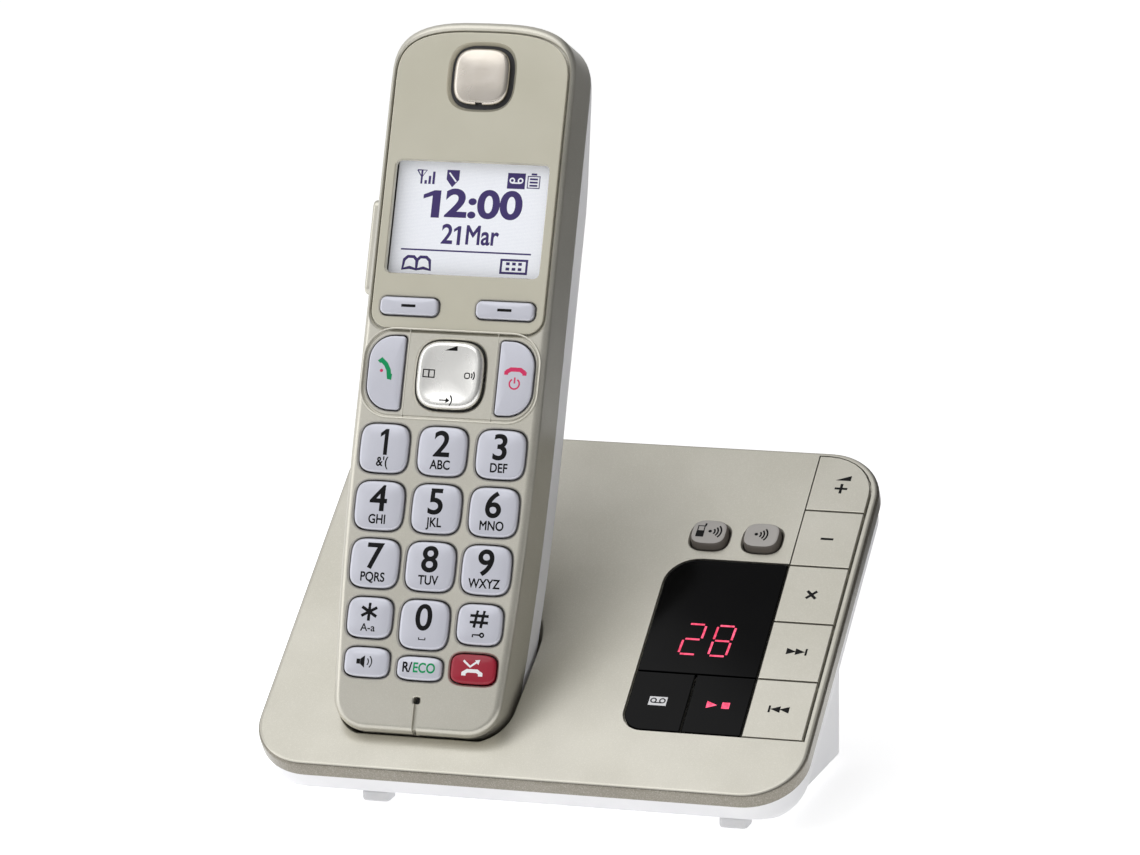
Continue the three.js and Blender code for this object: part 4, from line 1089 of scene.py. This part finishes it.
# %% Plate with its well
HALF_PLATE = span("base_top_cover", PLATE)[1].x
CORNER, RIM_HEIGHT, RIM_ROUND, RIM_WALL, SKIN = 14.5, 4, 1.1, 2.2, 3
WELL_SIDE, WELL_END, WELL_WALL = 0.8, 0.4, 1.5
POCKET = 1.9
TO_PLATE = PLATE.inverted() @ HANDSET


def plate_outline(inset, count=14):
    return rounded_box((-HALF_PLATE + inset, inset), (HALF_PLATE - inset, PLATE_LENGTH - inset),
                       [CORNER - inset] * 4, count)


def well_body(side, end):
    """The handset's shape grown by a clearance, open towards the front."""
    body = prism("well", handset_outline(-side), -THICKNESS - side, THICKNESS,
                 bottom_round=BACK_ROUND + side, count=7)
    body = boolean(body, box_tool((-FAR, -FAR, -FAR), (FAR, -end, FAR)))
    body.data.transform(TO_PLATE)
    return body


top_cover = prism("plate", plate_outline(0), -RIM_HEIGHT, 0, top_round=RIM_ROUND)
boolean(top_cover, prism("under", plate_outline(RIM_WALL), -RIM_HEIGHT - 4, -SKIN))
cup = boolean(well_body(WELL_SIDE + WELL_WALL, WELL_END + WELL_WALL),
              box_tool((-FAR, -FAR, -0.4), (FAR, FAR, FAR)))
boolean(top_cover, cup, "UNION")
boolean(top_cover, well_body(WELL_SIDE, WELL_END))
print("plate with its well", len(top_cover.data.polygons), "faces")

# %% Button layout and pockets
TILE_GAP = 0.5
tile_names = ["button_skip_back", "button_skip_forward", "button_erase", "button_volume_down",
              "button_volume_up"]
window_names = ["button_answer", "button_play_stop", "display_window"]
tile_spans = {name: span(name, PLATE) for name in tile_names + window_names}
column_low = tile_spans["button_skip_back"][0]
column_high = tile_spans["button_volume_up"][1]
window_low = Vector((tile_spans["button_answer"][0].x, tile_spans["button_answer"][0].y, 0))
window_high = tile_spans["display_window"][1]
CORNER_BACK = CORNER - (HALF_PLATE - column_high.x)
WINDOW_BACK_RADIUS, WINDOW_FRONT_RADIUS = 8, 5
LEDGE = 1.2

boolean(top_cover, prism("pocket", rounded_box(
    (column_low.x - TILE_GAP / 2, column_low.y - TILE_GAP), (column_high.x + 0.7, column_high.y + 0.25),
    [0, 0, CORNER_BACK + 1.1, 0]), -POCKET, 2))
boolean(top_cover, prism("pocket", rounded_box(
    (window_low.x - TILE_GAP, window_low.y - TILE_GAP), (column_low.x + 0.1, window_high.y + TILE_GAP),
    [WINDOW_FRONT_RADIUS + TILE_GAP, 0, 0, WINDOW_BACK_RADIUS + TILE_GAP]), -POCKET, 2))
for name, (low, high) in tile_spans.items():
    if name == "display_window":
        boolean(top_cover, box_tool((low.x + 8, low.y + LEDGE, -8), (high.x - LEDGE, high.y - 8, 1)))
    else:
        corner = CORNER_BACK - LEDGE if name == "button_volume_up" else 0
        boolean(top_cover, prism("opening", rounded_box(
            (low.x + LEDGE, low.y + LEDGE), (high.x - LEDGE, high.y - LEDGE), [0, 0, corner, 0]), -8, 1))
pad_spots = {}
for name in ("button_locator", "button_intercom"):
    low, high = span(name, PLATE)
    pad_spots[name] = (middle((low.x, high.x)), middle((low.y, high.y)), low.z, high.z)
    pad_hole = squircle(high.x - low.x + 0.7, high.y - low.y + 0.7, 3, 48, pad_spots[name][:2])
    boolean(top_cover, hole(pad_hole, -8, 0.3))
for name in ("charge_contact_left", "charge_contact_right"):
    low, high = span(name, HANDSET)
    mid = (low + high) / 2
    tool = box_tool((mid.x - 1.6, -12, mid.z - 1.7), (mid.x + 1.6, 1, mid.z + 1.7))
    tool.data.transform(TO_PLATE)
    boolean(top_cover, tool)


def soften(piece, wanted, width, segments=4):
    """Bevels the edges whose two ends both pass the test."""
    pick(piece)
    mesh = piece.data
    bpy.context.tool_settings.mesh_select_mode = (False, True, False)
    bpy.ops.object.mode_set(mode="EDIT")
    bpy.ops.mesh.select_all(action="DESELECT")
    bpy.ops.object.mode_set(mode="OBJECT")
    count = 0
    for edge in mesh.edges:
        edge.select = all(wanted(mesh.vertices[index].co) for index in edge.vertices)
        count += edge.select
    bpy.ops.object.mode_set(mode="EDIT")
    bpy.ops.mesh.bevel(offset=width, segments=segments, profile=0.5, affect="EDGES", clamp_overlap=True)
    bpy.ops.object.mode_set(mode="OBJECT")
    return count


handset_x = (TO_PLATE @ Vector((0, 0, 0))).x
lip = soften(top_cover, lambda point: abs(point.z) < 0.02 and abs(point.x - handset_x) < HALF_WIDTH + 3
             and RIM_ROUND + 1 < point.y < PLATE_LENGTH - 9, 0.9)
print("well lip has", lip, "edges")
top_cover.data.materials.append(champagne)
top_cover.data.materials.append(champagne_rim_painted_shade)


def on_painted_shade_rim(face):
    """Whether a face is on the plate's outer rim, which gets the darker lacquer as painted shade and dark
    reflection.
    """
    x, y = abs(face.center.x), face.center.y
    over_x, over_y = x - (HALF_PLATE - CORNER), max(CORNER - y, y - (PLATE_LENGTH - CORNER))
    outward = math.hypot(over_x, over_y) if over_x > 0 and over_y > 0 else max(over_x, over_y)
    return outward > CORNER - RIM_ROUND * 0.45


# Rim faces get the darker lacquer: painted shade and dark reflection.
for face in top_cover.data.polygons:
    face.material_index = int(on_painted_shade_rim(face))
finish(top_cover, "plate_moulding", PLATE, "base", None, ["base_top_cover"], 32)
print("plate", len(top_cover.data.polygons), "faces")

# %% [markdown]
# ## Window, tiles and round buttons
# The answering buttons are square tiles with hairline gaps, moulded with crisp
# edges. The black window and its two buttons are polished acrylic. The locator
# and intercom buttons are rubber pads that stand proud.

# %% Tiles and window
TILE_ROUND, TILE_THICKNESS, STEM = 0.16, 1.1, 2.5


def tile(name, radii, material, body):
    low, high = tile_spans[name]
    pieces = [prism(name, rounded_box(low, high, radii), -TILE_THICKNESS, 0, top_round=TILE_ROUND, count=2)]
    if name != "display_window":
        mid = (low + high) / 2
        stem = rounded_box((mid.x - STEM, mid.y - STEM), (mid.x + STEM, mid.y + STEM), [0.4] * 4, 3)
        pieces.append(prism("stem", stem, low.z, -TILE_THICKNESS))
    return finish(join(name, pieces), name + "_tile", PLATE, body, material, [name], 20)


for name in tile_names:
    corner = CORNER_BACK if name == "button_volume_up" else 0
    tile(name, [0, 0, corner, 0], champagne, name)
tile("button_answer", [WINDOW_FRONT_RADIUS, 0, 0, 0], black_acrylic, "button_answer")
tile("button_play_stop", [0, 0, 0, 0], black_acrylic, "button_play_stop")
tile("display_window", [0, 0, 0, WINDOW_BACK_RADIUS], black_acrylic, "base")

for name, (x, y, bottom, top) in pad_spots.items():
    low, high = span(name, PLATE)
    pad = prism(name, squircle(high.x - low.x, high.y - low.y, 3, 56, (x, y)), bottom, top,
                top_round=0.9, count=7)
    pad.data.materials.append(rubber_side_painted_shade)
    pad.data.materials.append(rubber_top)
    # Faces that do not face up take the darker rubber: painted shade on the pads' sides.
    for face in pad.data.polygons:
        face.material_index = 1 if face.normal.z > 0.75 else 0
    finish(pad, name + "_pad", PLATE, name, None, [name], 50)
print(len(tile_spans), "tiles and", len(pad_spots), "pads")

# %% Message counter digits
# Seven bars make each digit. Here two digits lean a little, as on the real display.
counter, counter_row = [middle(edges) for edges in zip(*span("message_counter", PLATE))][:2]
DIGIT_SIZE = (4.4, 9.6)
SEGMENTS = {"top": ((-1, 1), (1, 1)), "middle": ((-1, 0), (1, 0)), "bottom": ((-1, -1), (1, -1)),
            "upper_left": ((-1, 0), (-1, 1)), "upper_right": ((1, 0), (1, 1)),
            "lower_left": ((-1, -1), (-1, 0)), "lower_right": ((1, -1), (1, 0))}
LIT = [["top", "upper_right", "middle", "lower_left", "bottom"], list(SEGMENTS)]
SLANT = 0.06
bars = []
for index, lit in enumerate(LIT):
    centre = counter + (index - 0.5) * 7.4
    for segment in lit:
        start, end = [Vector((centre + x * DIGIT_SIZE[0] / 2, counter_row + y * DIGIT_SIZE[1] / 2))
                      for x, y in SEGMENTS[segment]]
        shrink = (end - start).normalized() * 0.45
        points = [start + shrink, end - shrink]
        bars.append(stroke([(p.x + SLANT * (p.y - counter_row), p.y) for p in points], 0.55, 0.0))
finish(join("counter", bars), "counter_digits", PLATE, "base", led_red)

# %% Prints on the base
def tile_spot(name):
    low, high = tile_spans[name]
    return middle((low.x, high.x)), middle((low.y, high.y))


def triangle(x, y, size, way=1):
    half, rise = way * size / 2, size * 0.42
    return mark([(x - half, y - rise), (x + half, y), (x - half, y + rise)])


x, y = tile_spot("button_volume_up")
print_on("button_volume_up", [mark([(x - 1.9, y + 1.2), (x + 1.9, y + 1.2), (x + 1.9, y + 2.9)]),
                              stroke([(x - 1.6, y - 1.5), (x + 1.6, y - 1.5)], 0.7),
                              stroke([(x, y - 3.1), (x, y + 0.1)], 0.7)], black_ink, place=PLATE)
x, y = tile_spot("button_volume_down")
print_on("button_volume_down", [stroke([(x - 1.6, y), (x + 1.6, y)], 0.7)], black_ink, place=PLATE)
x, y = tile_spot("button_erase")
print_on("button_erase", [stroke([(x - 1.2, y - 1.2), (x + 1.2, y + 1.2)], 0.75),
                          stroke([(x - 1.2, y + 1.2), (x + 1.2, y - 1.2)], 0.75)], black_ink, place=PLATE)
for name, way in (("button_skip_forward", 1), ("button_skip_back", -1)):
    x, y = tile_spot(name)
    print_on(name, [triangle(x - 1.1, y, 2.4, way), triangle(x + 1.1, y, 2.4, way),
                    mark(box_points(x + way * 2.55, y, 0.5, 2.1))], black_ink, place=PLATE)
x, y = tile_spot("button_play_stop")
print_on("button_play_stop", [triangle(x - 1.6, y, 2.6), mark(box_points(x + 1.8, y, 1.9, 1.9))], led_red,
         place=PLATE)
x, y = tile_spot("button_answer")
print_on("button_answer", [mark(box_points(x, y, 4.4, 2.7))], white_ink, place=PLATE)
reels = [stroke(squircle(1.3, 1.3, 2, 18, (x + side * 1.1, y + 0.15)), 0.34, INK, closed=True)
         for side in (-1, 1)]
print_on("button_answer", reels + [stroke([(x - 1.1, y - 0.5), (x + 1.1, y - 0.5)], 0.34, INK)], black_ink,
         place=PLATE, suffix="_reels_print")


def waves(x, y, z):
    dot = mark(squircle(0.9, 0.9, 2, 14, (x, y)), z)
    return [dot] + [stroke(arc((x, y), radius, -0.45, 0.45), 0.45, z) for radius in (1.2, 2.0, 2.8)]


x, y, _, top = pad_spots["button_intercom"]
print_on("button_intercom", waves(x - 1.3, y, top), black_ink, place=PLATE)
x, y, _, top = pad_spots["button_locator"]
handset_icon = [mark(box_points(x - 2.1, y - 0.9, 2.0, 1.9), top),
                stroke(box_points(x - 2.1, y + 0.9, 1.6, 1.6), 0.4, top, closed=True),
                stroke([(x - 1.2, y + 1.6), (x - 1.1, y + 2.6)], 0.5, top)]
print_on("button_locator", handset_icon + waves(x + 0.3, y + 0.1, top), black_ink, place=PLATE)
print("base printed")

# %% [markdown]
# ## The white underside
# A shallow tray hangs under the plate and a stand carries it on the table. Both
# are one white moulding, made here by joining a tilted block and an upright one,
# then hollowing them with the same two shapes made smaller.

# %% Bottom housing
TRAY_DEPTH, TRAY_INSET, TRAY_ROUND, BASE_WALL = 14.5, 1.3, 5, 1.9
FOOT_HEIGHT = span("base_bottom_housing", TABLE)[0].z
PLATE_TO_TABLE = TABLE.inverted() @ PLATE
plate_front = (PLATE_TO_TABLE @ Vector((0, 0, 0))).y
STAND_INSET, STAND_FRONT, STAND_BACK, STAND_CORNER = 7, 7, 77, 9


def tray_body(inset, top):
    body = prism("tray", plate_outline(TRAY_INSET + inset), -TRAY_DEPTH + inset, top,
                 bottom_round=TRAY_ROUND - inset / 2, count=8)
    body.data.transform(PLATE_TO_TABLE)
    return body


def stand_body(inset, depth):
    half = HALF_PLATE - STAND_INSET - inset
    outline = rounded_box((-half, plate_front + STAND_FRONT + inset),
                          (half, plate_front + STAND_BACK - inset), [STAND_CORNER - inset] * 4)
    body = prism("stand", outline, FOOT_HEIGHT + inset, 120)
    above = box_tool((-FAR, -FAR, -depth), (FAR, FAR, FAR))
    above.data.transform(PLATE_TO_TABLE)
    return boolean(body, above)


housing = boolean(tray_body(0, -RIM_HEIGHT - 0.3), stand_body(0, 8), "UNION")
boolean(housing, box_tool((-FAR, -FAR, -FAR), (FAR, FAR, FOOT_HEIGHT)))
inner = boolean(tray_body(BASE_WALL, 20), stand_body(BASE_WALL, 6), "UNION")
boolean(inner, box_tool((-FAR, -FAR, -FAR), (FAR, FAR, FOOT_HEIGHT + BASE_WALL)))
boolean(housing, inner)
JACK_GAP = 0.3
for name in ("line_jack", "power_jack"):
    low, high = span(name, TABLE)
    boolean(housing, box_tool((low.x - JACK_GAP, high.y - 3, low.z - JACK_GAP),
                              (high.x + JACK_GAP, high.y + 4, high.z + JACK_GAP)))
low, high = span("base_speaker", TABLE)
speaker_x, speaker_y = middle((low.x, high.x)), middle((low.y, high.y))
for step in range(-3, 4):
    y = speaker_y + 3 * step
    half = math.sqrt(12 ** 2 - (3 * step) ** 2)
    slot = rounded_box((speaker_x - half, y - 0.7), (speaker_x + half, y + 0.7), [0.69] * 4, 4)
    boolean(housing, prism("slot", slot, 0, FOOT_HEIGHT + BASE_WALL + 1))
finish(housing, "base_underside", TABLE, "base", white_abs, ["base_bottom_housing"], 30)
print("underside", len(housing.data.polygons), "faces")

# %% [markdown]
# ## Feet, sockets and the parts inside
# The small and the hidden parts are near their final shape already. A copy of
# each is merged into one clean mesh, its flat faces are joined, and a narrow
# bevel takes the sharpness off its edges.

# %% Refined copies of the small parts
def refine(node, body, material, slot, width):
    """A cleaned and bevelled copy of a node of the part."""
    source = frame["nodes"][node]
    copy = bpy.data.objects.new(node + "_part", source.data.copy())
    bpy.context.collection.objects.link(copy)
    copy.data.transform(source.matrix_world)
    copy.data.transform(TABLE.inverted())
    pick(copy)
    bpy.ops.object.mode_set(mode="EDIT")
    bpy.ops.mesh.select_all(action="SELECT")
    bpy.ops.mesh.remove_doubles(threshold=0.002)
    bpy.ops.mesh.dissolve_limited(angle_limit=math.radians(3))
    bpy.ops.object.mode_set(mode="OBJECT")
    if width:
        bevel = copy.modifiers.new("bevel", "BEVEL")
        bevel.width = width
        bevel.segments = 2
        bevel.limit_method = "ANGLE"
        bevel.angle_limit = math.radians(35)
        bpy.ops.object.modifier_apply(modifier="bevel")
    return finish(copy, node + "_part", TABLE, body, material, [node])


# Nodes of one kind, the body they ride on (their own if none), finish, slot and bevel in mm.
refined = [
    ("foot_front_left foot_front_right foot_rear_left foot_rear_right", "base", foot_rubber, "foot", 0.3),
    ("line_jack", "base", dark_abs, "dark_plastic", 0.25),
    ("power_jack", "base", dark_abs, "dark_plastic", 0.15),
    ("base_speaker", "base", dark_abs, "dark_plastic", 0.3),
    ("base_circuit_board", "base", solder_mask, "circuit_board", 0.1),
    ("message_counter", "base", dark_abs, "black_gloss", 0.2),
    ("charge_contact_left charge_contact_right", None, gold_contact, "gold_contact", 0.25),
    ("handset_contact_left handset_contact_right", "handset", gold_contact, "gold_contact", 0.3),
    ("keypad_mat", "handset", clear_silicone, "silicone", 0.2),
    ("handset_circuit_board", "handset", solder_mask, "circuit_board", 0.1),
    ("earpiece_speaker ringer_speaker", "handset", dark_abs, "dark_plastic", 0.3),
    ("microphone_capsule", "handset", dark_abs, "dark_plastic", 0.2),
    ("battery_cell_left battery_cell_right", "handset", cell_sleeve, "cell", 0),
    ("navigator_pad", None, clear_silicone, "silicone", 0.2),
]
for names, body, *look in refined:
    for node in names.split():
        refine(node, body or node, *look)
print(len(refined), "kinds of part refined")

# %% [markdown]
# ## Table, light and camera
# A wide light table keeps the background even and white. Large soft lights give
# the lacquer its slow gradient, and dark cards draw its edges, as in a small studio.

# %% Table
paper = moulding("matt_white_paper", "#F8F8F8", "#F7F7F7", 0.9, 1.0, 0.002)
deselect()
bpy.ops.mesh.primitive_plane_add(size=9, location=(0, 0, 0))
floor = bpy.context.object
floor.name = "studio_floor"
floor.data.materials.append(paper)
glow = next(node for node in paper.node_tree.nodes if node.type == "BSDF_PRINCIPLED").inputs
glow["Emission Color"].default_value = linear("#FFFFFF")
glow["Emission Strength"].default_value = 0.5

# %% Lights
world = bpy.data.worlds.new("studio")
bpy.context.scene.world = world
world.use_nodes = True
background = next(node for node in world.node_tree.nodes if node.type == "BACKGROUND")
direction = add(world.node_tree, "ShaderNodeTexCoord")
parts = add(world.node_tree, "ShaderNodeSeparateXYZ", {"Vector": direction.outputs["Generated"]})
fade = add(world.node_tree, "ShaderNodeMapRange", {"Value": parts.outputs["X"]},
           {"From Min": -0.8, "From Max": 0.9, "To Min": 0.85, "To Max": 0.2})
world.node_tree.links.new(fade.outputs["Result"], background.inputs["Strength"])
background.inputs["Color"].default_value = linear("#FFFFFF")


def soft_light(name, place, target, size, power):
    deselect()
    bpy.ops.object.light_add(type="AREA", location=place)
    lamp = bpy.context.object
    lamp.name = name
    lamp.data.shape = "RECTANGLE"
    lamp.data.size, lamp.data.size_y = size
    lamp.data.energy = power
    lamp.rotation_euler = (Vector(target) - Vector(place)).to_track_quat("-Z", "Y").to_euler()
    return lamp


soft_light("overhead_box", (-0.25, -0.35, 0.95), (0, 0, 0.08), (0.8, 0.8), 2.4)
soft_light("left_box", (-0.9, -0.5, 0.45), (0, 0, 0.09), (0.5, 0.7), 1.3)


def flag(name, low, high):
    """A dark card that only reflections see. It draws a dark edge on lacquer and chrome."""
    deselect()
    bpy.ops.mesh.primitive_plane_add(size=1)
    card = bpy.context.object
    card.name = name
    for vertex, corner in zip(card.data.vertices, ((low[0], low[1], 0), (high[0], high[1], 0),
                                                   (low[0], low[1], 1), (high[0], high[1], 1))):
        vertex.co = (corner[0], corner[1], high[2] if corner[2] else low[2])
    card.data.materials.append(dark_abs)
    card.visible_camera = card.visible_diffuse = card.visible_shadow = card.visible_transmission = False


flag("right_flag", (0.14, 0.03, 0.0), (0.03, 0.75, 0.5))
flag("front_flag", (-0.3, -0.34, 0.0), (0.3, -0.34, 0.07))
print("lights set")

# %% Camera
# A long lens from the front right, a little above the phone, with a slight roll.
FOCAL = 170.5
camera_place = Vector((0.375035, -1.174502 - 0.048516, 0.357639))
camera_right = Vector((0.956423, 0.291861, -0.008536))
camera_up = Vector((-0.052700, 0.201303, 0.978110))
camera_back = camera_right.cross(camera_up)
deselect()
bpy.ops.object.camera_add()
camera = bpy.context.object
camera.data.lens = FOCAL
camera.data.sensor_width = 36
camera.data.clip_start = 0.05
rotation = Matrix((camera_right, camera_up, camera_back)).transposed().to_4x4()
camera.matrix_world = Matrix.Translation(camera_place) @ rotation
bpy.context.scene.camera = camera
bpy.context.scene.view_settings.view_transform = "Standard"

# %% Count the pieces and their faces
print(len(made), "pieces,", sum(made.values()), "faces")
